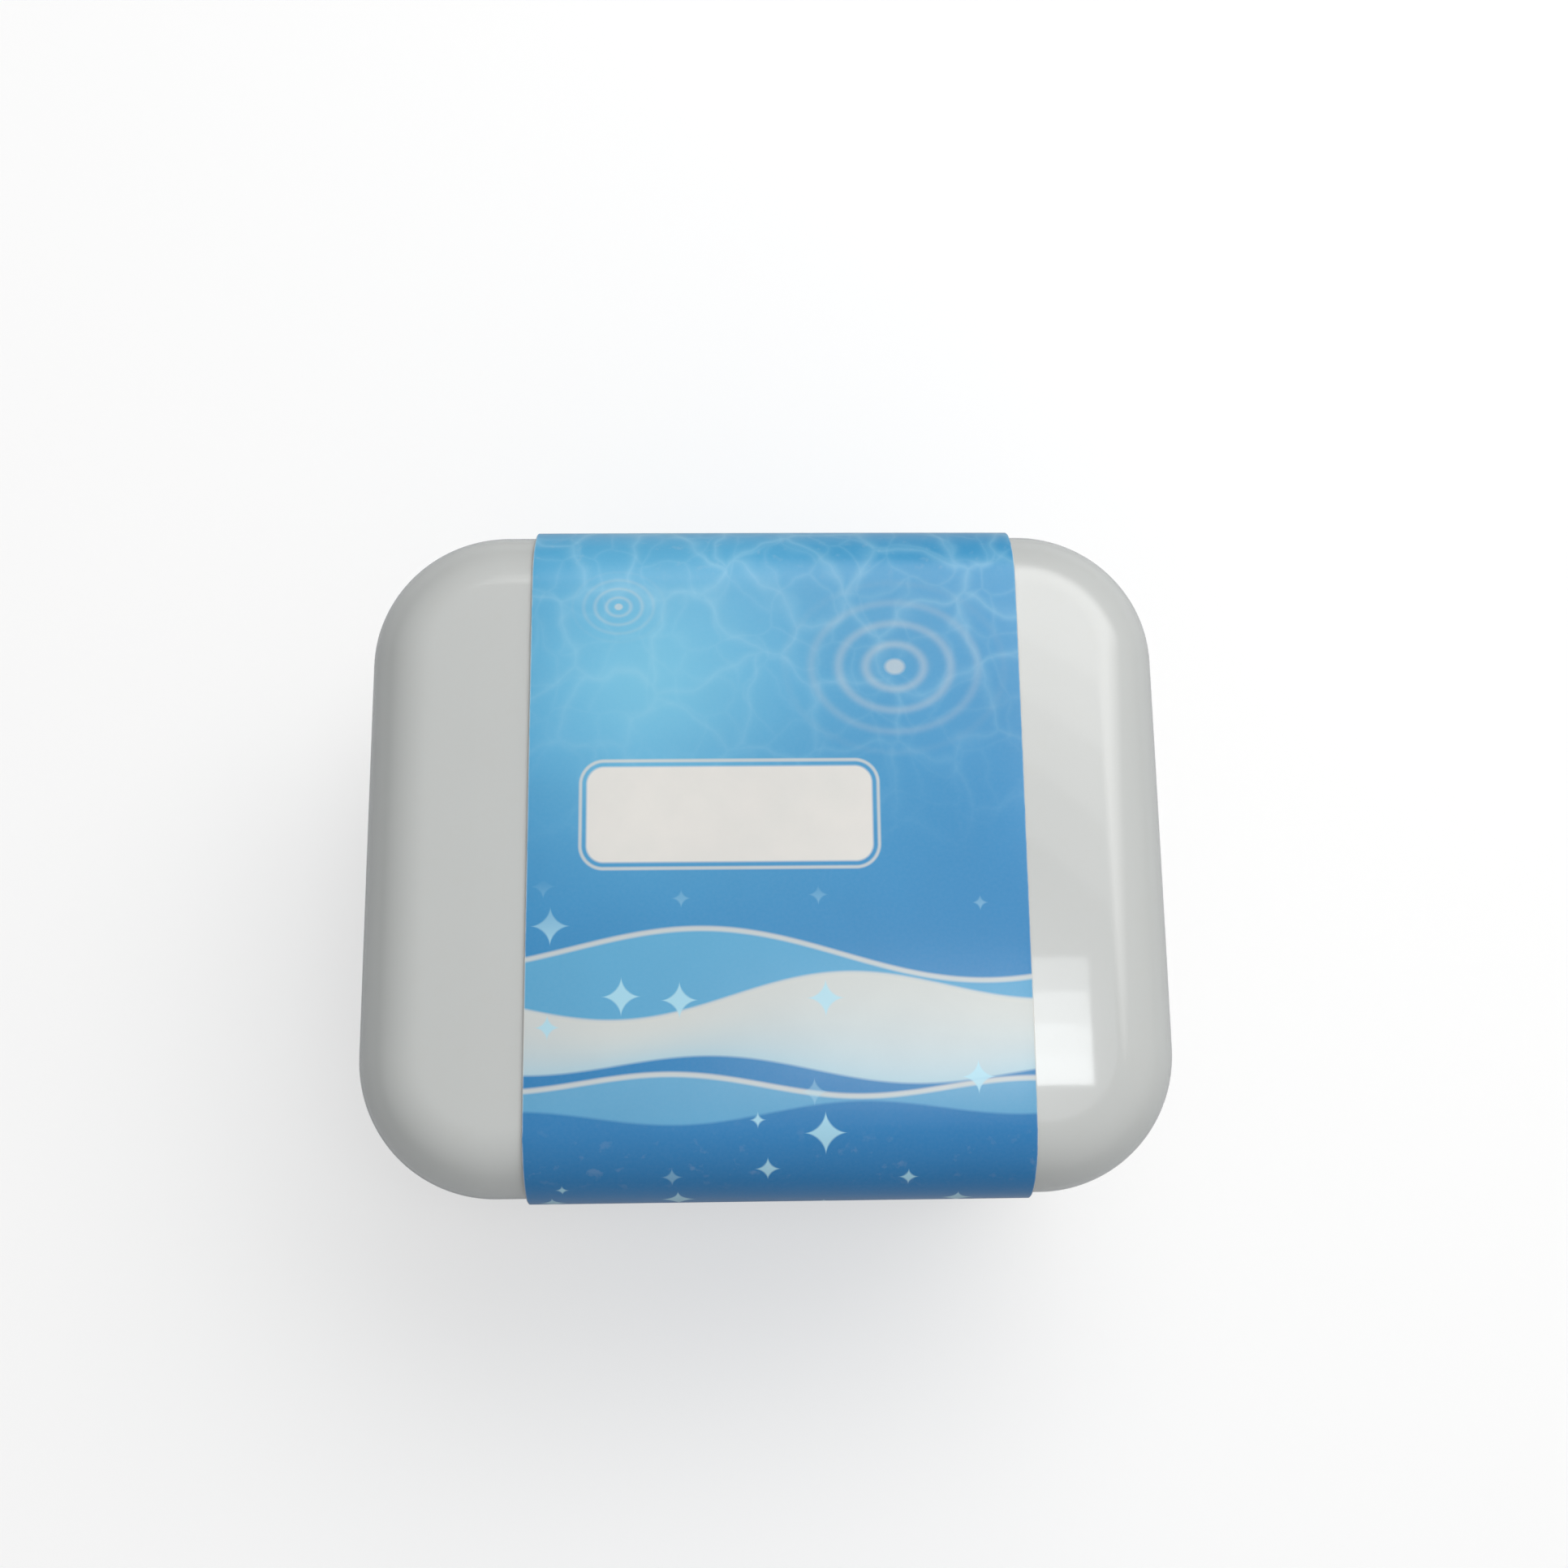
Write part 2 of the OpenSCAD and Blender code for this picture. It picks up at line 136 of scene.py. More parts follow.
# Each wave band: lower line, upper line (level, height, width, phase, lean),
# how pale it is and how much it covers
WAVES = (
    ((-22.0, 1.2, 52.0, 1.1, 0.02), (-12.6, 2.6, 61.0, 2.4, -0.03), 0.0, 0.42),
    ((-25.6, 1.3, 44.0, 2.6, -0.03), (-17.4, 2.1, 49.0, 0.7, 0.04), 1.0, 0.96),
    ((-30.4, 1.0, 39.0, 0.2, 0.02), (-27.4, 1.1, 41.0, 3.4, -0.02), 0.1, 0.45),
    ((176.0, 1.2, 50.0, 0.6, 0.02), (185.5, 1.8, 57.0, 2.0, 0.03), 0.0, 0.40),
    ((174.5, 1.0, 43.0, 1.6, -0.02), (180.0, 1.5, 51.0, 0.3, -0.03), 1.0, 0.90),
)

# Floor: how much of its white near the case is its own, half its size, and where
# the white grows and over how far, in millimetres from the middle
FLOOR_WHITE, FLOOR_HALF = 0.45, 3.0
FADE_PLACE, FADE_WIDTH = 550.0, 800.0
# Light: the brightest direction of the light from all round, the key lamp's place,
# aim, size and panels, and the window's half depth, height and number of strips.
# Each column of the window has its place along X, its width and its brightness.
BRIGHT_SIDE = (0.225, -0.06, 0.43)
KEY_PLACE, KEY_AIM, KEY_SIZE = (0.24, 0.36, 0.62), (0, 0, 0.03), (0.86, 0.56)
KEY_PANELS = (1.0, 0.86, 0.72, 0.58)
KEY_TINT, WINDOW_TINT = (1.0, 0.99, 0.975), (0.95, 0.98, 1.0)
WINDOW_HALF, WINDOW_HEIGHT, WINDOW_STRIPS = 0.040, 0.66, 4
WINDOW_COLUMNS = ((0.139, 0.104, 1.0), (0.0695, 0.035, 0.9), (0.0345, 0.035, 0.65),
                  (-0.0005, 0.035, 0.3))


# ---------------------------------------------------------------- settings


def number(name, description, default, **options):
    """A property that holds one number."""
    return bpy.props.FloatProperty(
        name=name, description=description, default=default, **options)


def length(name, description, default):
    """A property that holds a length in metres."""
    return number(name, description, default, min=0.0, precision=5, unit="LENGTH")


def colour(name, description, default):
    """A property that holds a linear colour."""
    return bpy.props.FloatVectorProperty(
        name=name, description=description, default=default,
        size=3, min=0.0, max=1.0, subtype="COLOR")


class DENTURECASE_PG_shape(bpy.types.PropertyGroup):
    """Sizes of the moulded parts and of the card."""

    corner_radius: length("Corner radius", "Corner of the case, from above", 0.0162)
    shoulder_radius: length("Shoulder radius", "Round of the lid's top edge", 0.0082)
    lid_wall: length("Lid wall", "Thickness of the lid", 0.0016)
    rim_height: length("Rim height", "Height of the lid's lower edge", 0.0442)
    crown: length("Crown", "Soft rise of the lid's middle", 0.0012)
    edge: length("Edge rounding", "Rounding of moulded edges", 0.0003)
    card: length("Card thickness", "Thickness of the sleeve's card", 0.00035)
    lap_start: length("Lap start", "Height where the lap leans in", 0.0324)
    lap_end: length("Lap end", "Height of the lap's cut edge", 0.0244)
    base_radius: length("Base radius", "Round of the sleeve's lower edges", 0.005375)
    base_reach: length("Base reach", "Distance of that round from the middle", 0.031936)


class DENTURECASE_PG_colours(bpy.types.PropertyGroup):
    """Colours of the mouldings and of the printed card, in linear values."""

    shell: colour("Shell", "Pale grey-white moulded shell", (0.515, 0.53, 0.52))
    basket: colour("Basket", "Cool white basket", (0.60, 0.64, 0.66))
    button: colour("Button", "Pale blue button", (0.30, 0.46, 0.60))
    seal: colour("Seal", "Milky silicone", (0.55, 0.58, 0.60))
    steel: colour("Steel", "Hinge pins and leaf spring", (0.58, 0.58, 0.57))
    sky: colour("Sky", "Printed blue at the back", (0.018, 0.262, 0.530))
    middle: colour("Middle", "Printed blue in the middle", (0.008, 0.215, 0.50))
    deep: colour("Deep", "Printed blue at the front", (0.004, 0.165, 0.43))
    glow: colour("Glow", "Light in the printed water", (0.20, 0.58, 0.78))
    glint: colour("Glint", "Small four-pointed glints", (0.42, 0.72, 0.84))
    cream: colour("Cream", "Bare label panel", (0.78, 0.75, 0.71))
    foam: colour("Foam", "Pale wave bands", (0.64, 0.66, 0.63))
    paper: colour("Paper", "Bare card inside and at cut edges", (0.70, 0.68, 0.64))


class DENTURECASE_PG_studio(bpy.types.PropertyGroup):
    """Camera and light."""

    azimuth: number("Azimuth", "Camera's turn to the left of the front",
                    math.radians(8.19), subtype="ANGLE")
    elevation: number("Elevation", "Camera's height above the horizon",
                      math.radians(78.26), subtype="ANGLE")
    roll: number("Roll", "Camera's turn about its own line of sight",
                 math.radians(7.65), subtype="ANGLE")
    distance: length("Distance", "Camera's distance from its target", 0.1959)
    lens: number("Lens", "Focal length on a 36 mm wide sensor", 38.74, unit="CAMERA")
    target: bpy.props.FloatVectorProperty(
        name="Target", description="Point that the camera looks at",
        default=(0.002, 0.00705, 0.0625), size=3, unit="LENGTH")
    sky_light: number("Sky light", "Strength of the light from all round", 0.69, min=0.0)
    key_light: number("Key light", "Power of the large soft lamp", 3.2,
                      min=0.0, unit="POWER")
    window_light: number("Window light", "Power of the small window reflection", 0.27,
                         min=0.0, unit="POWER")


class DENTURECASE_PG_settings(bpy.types.PropertyGroup):
    """All settings of the case."""

    shape: bpy.props.PointerProperty(
        name="Shape", description="Sizes", type=DENTURECASE_PG_shape)
    colours: bpy.props.PointerProperty(
        name="Colours", description="Colours", type=DENTURECASE_PG_colours)
    studio: bpy.props.PointerProperty(
        name="Studio", description="Camera and light", type=DENTURECASE_PG_studio)


# ---------------------------------------------------------------- surfaces


def soften(points, radii, steps=4):
    """A line of points with its corners rounded.

    Each corner that has a radius becomes an arc that touches both its sides: the
    arc's centre lies on the corner's bisector at radius over the sine of the half
    angle, and the arc turns evenly from one touching point to the other."""
    points = np.asarray(points, float)
    out = []
    for i, (point, radius) in enumerate(zip(points, radii)):
        if radius <= 0 or i in (0, len(points) - 1):
            out.append(point[None])
            continue
        back = points[i - 1] - point
        ahead = points[i + 1] - point
        back, ahead = back / np.linalg.norm(back), ahead / np.linalg.norm(ahead)
        half = math.acos(float(np.clip(back @ ahead, -1, 1))) / 2
        bisector = (back + ahead) / np.linalg.norm(back + ahead)
        centre = point + bisector * radius / math.sin(half)
        start = point + back * radius / math.tan(half) - centre
        end = point + ahead * radius / math.tan(half) - centre
        turn = math.pi - 2 * half
        share = np.linspace(0, 1, steps + 1)[:, None]
        out.append(centre + (start * np.sin((1 - share) * turn)
                             + end * np.sin(share * turn)) / math.sin(turn))
    return np.concatenate(out)


def box_loop(low, high, radius, steps=3):
    """A rectangle between two corners, as a closed line whose corners are rounded:
    the same arcs as in soften, with its ends repeated at both ends."""
    points = np.array([low, (high[0], low[1]), high, (low[0], high[1])], float)
    padded = np.concatenate([points[-1:], points, points[:1]])
    return soften(padded, [0, *[radius] * 4, 0], steps)[1:-1]


def outline(half_x, half_y, arc_steps=12, side_steps=8):
    """Corner centres and outward directions round a rounded rectangle.

    A point of the outline is its corner centre plus the radius times its
    direction. On a corner the direction turns by a quarter about one centre, and
    on a side it stays while the centre moves to the next corner."""
    corner = np.array([(1, 1), (-1, 1), (-1, -1), (1, -1)]) * (half_x, half_y)
    turn = (np.arange(4)[:, None] * math.pi / 2
            + np.linspace(0, math.pi / 2, arc_steps + 1)[None])
    arc_normal = np.stack([np.cos(turn), np.sin(turn)], -1)
    arc_centre = np.repeat(corner[:, None], arc_steps + 1, 1)
    share = np.linspace(0, 1, side_steps + 1)[1:-1][None, :, None]
    side_centre = corner[:, None] * (1 - share) + np.roll(corner, -1, 0)[:, None] * share
    side_normal = np.repeat(arc_normal[:, -1:], side_steps - 1, 1)
    centre = np.concatenate([arc_centre, side_centre], 1).reshape(-1, 2)
    normal = np.concatenate([arc_normal, side_normal], 1).reshape(-1, 2)
    return centre, normal


def shell_outline(shape, arc_steps, side_steps):
    """The lid's outline: half its sides without the corner radius, and the corner
    centres and directions round it."""
    half = LID_HIGH[:2] - shape.corner_radius
    half[1] = SLEEVE_HIGH[1] - LID_TO_SLEEVE - shape.corner_radius
    return half, outline(*half, arc_steps, side_steps)


def carried(rows, centre, normal):
    """A profile carried round an outline. A row is scale, radius and height, and
    its points are scale times (corner centre plus radius times direction)."""
    flat = rows[:, 0, None, None] * (centre[None] + rows[:, 1, None, None] * normal[None])
    height = np.broadcast_to(rows[:, 2, None, None], flat.shape[:2] + (1,))
    return np.concatenate([flat, height], -1)


def turned(rows, steps=32):
    """A profile turned about the X axis: a row is the place along X and the
    radius, and its points go once round at that radius."""
    rows = np.asarray(rows, float)
    angle = np.linspace(0, 2 * math.pi, steps, endpoint=False)
    x = np.broadcast_to(rows[:, 0, None], (len(rows), steps))
    return np.stack([x, rows[:, 1, None] * np.cos(angle),
                     rows[:, 1, None] * np.sin(angle)], -1)


def upright(centre_x, centre_z, half_x, half_z, radius, y, arc_steps=6, side_steps=4):
    """A rounded rectangle that stands in a plane of constant y: the outline of
    the same name, with its second direction turned up."""
    centre, normal = outline(half_x - radius, half_z - radius, arc_steps, side_steps)
    flat = centre + radius * normal
    return np.stack([flat[:, 0] + centre_x, np.full(len(flat), y),
                     flat[:, 1] + centre_z], -1)


def heading(path):
    """The direction of a line at each of its points, of length one."""
    ahead = np.gradient(path, axis=0)
    return ahead / np.linalg.norm(ahead, axis=1)[:, None]


def run(path):
    """The length along a line, up to each of its points."""
    step = np.linalg.norm(np.diff(path, axis=0), axis=1)
    return np.concatenate([[0], np.cumsum(step)])


class Mesher:
    """Collects closed surfaces, each given as a grid of points, into one mesh."""

    def __init__(self):
        self.points, self.corners, self.totals, self.fields = [], [], [], {}
        self.count = 0

    def add(self, grid, ring=False, **fields):
        """Adds a grid whose rows close on themselves. With ring the last row also
        joins the first, and otherwise each end closes on the middle of its row.
        Fields hold one number for each point. Faces are turned so that the volume
        under them, a sixth of the sum of their triple products, is positive."""
        rows, columns = grid.shape[:2]
        index = np.arange(rows * columns).reshape(rows, columns)
        below = index if ring else index[:-1]
        above = np.roll(index, -1, 0) if ring else index[1:]
        quads = np.stack([below, np.roll(below, -1, 1),
                          np.roll(above, -1, 1), above], -1).reshape(-1, 4)
        points = grid.reshape(-1, 3)
        values = {k: np.broadcast_to(v, (rows, columns)).reshape(-1)
                  for k, v in fields.items()}
        caps = np.zeros((0, 3), int)
        if not ring:
            first, last = len(points), len(points) + 1
            points = np.concatenate([points, grid[:1].mean(1), grid[-1:].mean(1)])
            ends = [index[0], index[-1]]
            caps = np.concatenate([
                np.stack([np.full(columns, first), np.roll(ends[0], -1), ends[0]], -1),
                np.stack([np.full(columns, last), ends[1], np.roll(ends[1], -1)], -1)])
            values = {k: np.append(v, [v[ends[0]].mean(), v[ends[1]].mean()])
                      for k, v in values.items()}
        corners = np.concatenate([quads[:, [0, 1, 2]], quads[:, [0, 2, 3]], caps])
        a, b, c = (points[corners[:, i]] for i in range(3))
        if np.einsum("ij,ij->i", a, np.cross(b, c)).sum() < 0:
            quads, caps = quads[:, ::-1], caps[:, ::-1]
        self.points.append(points)
        self.corners += [(quads + self.count).reshape(-1),
                         (caps + self.count).reshape(-1)]
        self.totals += [np.full(len(quads), 4), np.full(len(caps), 3)]
        for name, value in values.items():
            self.fields.setdefault(name, []).append((self.count, value))
        self.count += len(points)
        return self

    def piece(self, name, look):
        """Makes the object. Its place is in its mesh. Fields become attributes,
        and the fields u and v become the piece's own UV map."""
        mesh = bpy.data.meshes.new(name)
        corners = np.concatenate(self.corners).astype(np.int32)
        totals = np.concatenate(self.totals).astype(np.int32)
        starts = np.concatenate([[0], np.cumsum(totals)[:-1]]).astype(np.int32)
        mesh.vertices.add(self.count)
        mesh.vertices.foreach_set(
            "co", np.concatenate(self.points).astype(np.float32).reshape(-1))
        mesh.loops.add(len(corners))
        mesh.loops.foreach_set("vertex_index", corners)
        mesh.polygons.add(len(totals))
        mesh.polygons.foreach_set("loop_start", starts)
        mesh.polygons.foreach_set("loop_total", totals)
        mesh.polygons.foreach_set("use_smooth", np.ones(len(totals), bool))
        mesh.update(calc_edges=True)
        full = {}
        for field, chunks in self.fields.items():
            full[field] = np.zeros(self.count)
            for start, value in chunks:
                full[field][start:start + len(value)] = value
        if "u" in full:
            flat = np.stack([full.pop("u"), full.pop("v")], -1)[corners]
            layer = mesh.uv_layers.new(name="Wrap")
            layer.data.foreach_set("uv", flat.astype(np.float32).reshape(-1))
        for field, values in full.items():
            attribute = mesh.attributes.new(field, "FLOAT", "POINT")
            attribute.data.foreach_set("value", values.astype(np.float32))
        if mesh.validate(verbose=False):
            raise RuntimeError(f"{name}: its faces don't fit together")
        piece = bpy.data.objects.new(name, mesh)
        bpy.context.scene.collection.objects.link(piece)
        mesh.materials.append(look)
        piece.modifiers.new("Even shading", "WEIGHTED_NORMAL").weight = 80
        return piece


def drawn(box, amount, least):
    """An upright rounded rectangle, drawn in by an amount."""
    x, z, half_x, half_z, radius = box
    return x, z, half_x - amount, half_z - amount, max(radius - amount, least)


def slab(mesher, outer, y_front, y_back, edge, **fields):
    """A plate with softened edges: the same upright rounded rectangle, drawn in
    by the edge rounding on the front and back faces and full between them."""
    inner = drawn(outer, edge, edge / 2)
    grid = np.stack([upright(*inner, y_front), upright(*outer, y_front + edge),
                     upright(*outer, y_back - edge), upright(*inner, y_back)])
    mesher.add(grid, **fields)


def framed(mesher, outer, hole, y_front, y_back, edge, **fields):
    """A plate with a window and softened edges: a ring of eight outlines, out
    along the front face, back over the rim, in along the back face and forward
    through the window."""
    wider, inner = drawn(hole, -edge, edge / 2), drawn(outer, edge, edge / 2)
    grid = np.stack([
        upright(*wider, y_front), upright(*inner, y_front),
        upright(*outer, y_front + edge), upright(*outer, y_back - edge),
        upright(*inner, y_back), upright(*wider, y_back),
        upright(*hole, y_back - edge), upright(*hole, y_front + edge)])
    mesher.add(grid, ring=True, **fields)


def crowned(points, shape):
    """Lowers points towards the sides of the lid: by half the crown times the
    sum of the cubes of x and y over the half sizes, fading out down to the rim."""
    spread = (np.abs(points[..., :2] / LID_HIGH[:2]) ** 3).sum(-1) / 2
    rise = (points[..., 2] - shape.rim_height) / (LID_HIGH[2] - shape.rim_height)
    points[..., 2] -= shape.crown * spread * np.clip(rise, 0, 1)
    return points


# ---------------------------------------------------------------- materials


class Signal:
    """A number that varies over a surface. Arithmetic on it adds Math nodes."""

    def __init__(self, nodes, socket):
        self.nodes, self.socket = nodes, socket

    def op(self, kind, *others, clamp=False):
        return self.nodes.maths(kind, self, *others, clamp=clamp)

    def __add__(self, other):
        return self.op("ADD", other)

    __radd__ = __add__

    def __sub__(self, other):
        return self.op("SUBTRACT", other)

    def __rsub__(self, other):
        return self.nodes.maths("SUBTRACT", other, self)

    def __mul__(self, other):
        return self.op("MULTIPLY", other)

    __rmul__ = __mul__

    def __truediv__(self, other):
        return self.op("DIVIDE", other)

    def __rtruediv__(self, other):
        return self.nodes.maths("DIVIDE", other, self)

    def __pow__(self, other):
        return self.op("POWER", other)

    def __abs__(self):
        return self.op("ABSOLUTE")

    def clamp(self):
        return self.op("ADD", 0.0, clamp=True)

    def above(self, level, soft):
        """0 below the level and 1 above it, over a soft step."""
        return (self - level).op("MULTIPLY_ADD", 1.0 / soft, 0.5, clamp=True)

    def below(self, level, soft):
        """1 below the level and 0 above it, over a soft step."""
        return self.above(level, -soft)


class Nodes:
    """A node tree, emptied, and the methods that add nodes to it."""

    def __init__(self, tree):
        self.tree = tree
        tree.nodes.clear()

    def add(self, kind, settings=None, sockets=None):
        """Any node: its type, its settings, which are set first, and the values
        or links of its sockets by name or number."""
        node = self.tree.nodes.new(kind)
        for key, value in (settings or {}).items():
            if key == "stops":
                ramp = node.color_ramp
                while len(ramp.elements) < len(value):
                    ramp.elements.new(0.5)
                for element, (place, shade) in zip(ramp.elements, value):
                    element.position, element.color = place, (*shade, 1.0)
            else:
                setattr(node, key, value)
        for key, value in (sockets or {}).items():
            self.put(node, key, value)
        return node

    def put(self, node, key, value):
        """Links a socket or sets its value. A colour gets its fourth number."""
        socket = node.inputs[key]
        if isinstance(value, Signal):
            value = value.socket
        if isinstance(value, bpy.types.NodeSocket):
            self.tree.links.new(value, socket)
        elif socket.type == "RGBA":
            socket.default_value = (*value, 1.0)
        else:
            socket.default_value = value

    def maths(self, kind, *values, clamp=False):
        node = self.add("ShaderNodeMath", {"operation": kind, "use_clamp": clamp},
                        dict(enumerate(values)))
        return Signal(self, node.outputs[0])

    def seen(self):
        """1 where the camera looks at the surface itself, and 0 elsewhere."""
        return self.add("ShaderNodeLightPath").outputs["Is Camera Ray"]


class Look(Nodes):
    """One material: a Principled shader and the nodes that feed it."""

    def __init__(self, name, **sockets):
        self.material = bpy.data.materials.new(name)
        self.material.use_nodes = True
        super().__init__(self.material.node_tree)
        self.shader = self.add("ShaderNodeBsdfPrincipled")
        self.add("ShaderNodeOutputMaterial", None, {0: self.shader.outputs[0]})
        self.feed(**sockets)

    def feed(self, **sockets):
        """Sets the shader's own sockets: underscores stand for spaces."""
        for key, value in sockets.items():
            self.put(self.shader, key.replace("_", " "), value)
        return self.material

    def mix(self, low, high, share):
        """A colour between two, by a share from 0 to 1."""
        return self.add("ShaderNodeMix", {"data_type": "RGBA"},
                        {0: share, 6: low, 7: high}).outputs[2]

    def place(self, scale):
        """Object coordinates, scaled."""
        place = self.add("ShaderNodeTexCoord").outputs["Object"]
        return self.add("ShaderNodeMapping", None, {0: place, "Scale": scale}).outputs[0]

    def axes(self):
        """The object's x, y and z in millimetres."""
        node = self.add("ShaderNodeSeparateXYZ", None, {0: self.place((1000,) * 3)})
        return [Signal(self, o) for o in node.outputs]

    def joined(self, *parts):
        """A vector of up to three numbers."""
        return self.add("ShaderNodeCombineXYZ", None, dict(enumerate(parts))).outputs[0]

    def noise(self, scale, detail=3.0, stretch=(1, 1, 1), rough=0.5):
        """Noise from 0 to 1, with features one over scale metres wide."""
        node = self.add("ShaderNodeTexNoise", None, {
            "Vector": self.place(stretch), "Scale": scale,
            "Detail": detail, "Roughness": rough})
        return Signal(self, node.outputs[0])

    def field(self, name):
        """An attribute of the piece."""
        node = self.add("ShaderNodeAttribute", {"attribute_name": name})
        return Signal(self, node.outputs["Fac"])

    def bump(self, height, depth, strength, *normal):
        """A normal bent by a height from 0 to 1, that many metres deep, on top of
        another normal if there is one."""
        sockets = {"Strength": strength, "Distance": depth, "Height": height}
        sockets.update(zip(["Normal"], normal))
        return self.add("ShaderNodeBump", None, sockets).outputs[0]


def moulded(name, base, roughness=0.21, grime=0.5, worn=None):
    """Glossy moulded plastic: faint clouding of the tone and the gloss, a fine
    ripple from the mould, and edges rubbed dull and pale. The edges come from the
    field worn, or from a function of the height."""
    look = Look(name, IOR=1.49, Coat_Weight=0.75, Coat_Roughness=0.035)
    cloud, fine = look.noise(28, 4.0), look.noise(420, 5.0, rough=0.65)
    streak = look.noise(300, 2.0, stretch=(1.0, 0.06, 1.0))
    base = np.array(base)
    shade = look.mix(base * 0.96, np.minimum(base * 1.04, 1), cloud)
    shade = look.mix(shade, base * (0.96, 0.94, 0.88),
                     fine.above(0.62, 0.2) * 0.22 * grime)
    shade = look.mix(shade, base * 0.9, streak.above(0.6, 0.3) * 0.06)
    edge = worn(look.axes()[2]) if worn else look.field("worn")
    rub = (edge * (0.35 + fine * 0.9)).clamp()
    shade = look.mix(shade, np.minimum(base * 1.22 + 0.04, 1), rub * 0.55)
    ripple = look.bump(look.noise(90, 2.0), 0.00002, 0.3)
    return look.feed(
        Base_Color=shade, Normal=look.bump(fine, 0.000005, 0.35, ripple),
        Roughness=roughness + cloud * 0.04 + fine * 0.03 + rub * 0.22)


def brushed(name, base):
    """Drawn steel wire and strip: fine lines along X, dulled by small stains."""
    look = Look(name, Metallic=1.0)
    grain = look.noise(2600, 3.0, stretch=(0.05, 1.0, 1.0))
    stain = look.noise(500, 4.0)
    base = np.array(base)
    shade = look.mix(base * 0.82, base * 1.08, grain)
    shade = look.mix(shade, base * (0.72, 0.66, 0.6), stain.above(0.6, 0.12) * 0.4)
    return look.feed(Base_Color=shade, Roughness=0.29 + grain * 0.12 + stain * 0.10,
                     Normal=look.bump(grain, 0.00001, 0.6))


def silicone(name, base):
    """Milky silicone: satin, with a bloom of dust and a faint flow texture."""
    look = Look(name, IOR=1.41)
    bloom, fine = look.noise(120, 4.0), look.noise(900, 3.0)
    base = np.array(base)
    shade = look.mix(base * 0.9, base * 1.08, bloom)
    shade = look.mix(shade, np.minimum(base * 1.25, 1), look.field("worn") * fine * 0.7)
    return look.feed(Base_Color=shade, Roughness=0.42 + bloom * 0.12 + fine * 0.06,
                     Normal=look.bump(fine, 0.00001, 0.6))


def water(look, across, along, tones):
    """A blue that deepens towards the front, and again down the back and under it.
    A soft light off to the upper left fades with the squares of the distances
    from its middle."""
    ramp = look.add("ShaderNodeValToRGB", {"stops": [
        (0.115, tones.deep), (0.237, tones.middle), (0.370, tones.sky),
        (0.54, tones.sky), (0.65, tones.middle), (0.87, tones.deep)]},
        {0: (along + PRINT_FRONT) / PRINT_LENGTH})
    dx, dy = across - GLOW_PLACE[0], along - GLOW_PLACE[1]
    glow = 1.0 / (1.0 + (dx * dx) / GLOW_SPREAD[0] + (dy * dy) / GLOW_SPREAD[1])
    return look.mix(ramp.outputs[0], tones.glow, glow * 0.86)


def light_net(look, shade, across, along, tones):
    """Nets of light under the water: the edges of cells, coarse and fine, bent by
    a slow noise and strongest at the back."""
    flat = look.joined(across, along)
    sway = look.add("ShaderNodeTexNoise", None, {
        "Vector": flat, "Scale": 0.11, "Detail": 2.0}).outputs["Color"]
    bent = look.add("ShaderNodeVectorMath", {"operation": "MULTIPLY_ADD"}, {
        0: sway, 1: (9.0, 9.0, 0.0), 2: flat}).outputs[0]
    for scale, strength in ((0.115, 0.55), (0.2, 0.24)):
        net = look.add("ShaderNodeTexVoronoi", {
            "feature": "DISTANCE_TO_EDGE", "voronoi_dimensions": "2D"}, {
            "Vector": bent, "Scale": scale, "Randomness": 0.85})
        line = Signal(look, net.outputs["Distance"]).below(0.08, 0.3)
        shade = look.mix(shade, tones.glint, (line ** 3.0) * strength
                         * along.above(16.0, 36.0) * along.below(112.0, 50.0))
    return shade


def drop_rings(look, shade, across, along, tones):
    """Rings that spread from each drop, round a bright middle: the cube of a
    raised cosine of the distance, fading outwards."""
    for x, y, size in DROPS:
        rx, ry = (across - x) / size, (along - y) / size * 1.25
        reach = (rx * rx + ry * ry).op("SQRT")
        ring = (reach * 1.95 - 0.4).op("COSINE") * 0.5 + 0.5
        fade = reach.below(9.5, 9.0) * reach.above(0.9, 0.8)
        shade = look.mix(shade, tones.foam, (ring ** 3.0) * fade * 0.3)
        shade = look.mix(shade, tones.foam, reach.below(1.15, 0.5) * 0.6)
    return shade


def wave(across, level, height, width, phase, lean):
    """The height of a wave line: a level, a lean and a sine across the sleeve."""
    return ((across * (2 * math.pi / width) + phase).op("SINE") * height
            + across * lean + level)


def wave_bands(look, shade, across, along, tones):
    """Lapping bands between two wave lines each, three towards the front of the
    top and two low in front. A band is lighter towards its lower line, and a pale
    crest runs along its upper one."""
    for low, high, pale, share in WAVES:
        bottom, top = wave(across, *low), wave(across, *high)
        inside = (along - bottom).above(0.0, 0.35) * (top - along).above(0.0, 0.35)
        depth = ((along - bottom) / (top - bottom)).clamp()
        body = np.array(tones.glow) * (1 - pale) + np.array(tones.foam) * pale
        tone = look.mix(body, tones.glow, ((1.0 - depth) ** 2.0) * 0.45)
        shade = look.mix(shade, tone, inside * share)
        crest = abs(along - top).below(0.28, 0.3)
        shade = look.mix(shade, tones.foam, crest * 0.85)
    return shade


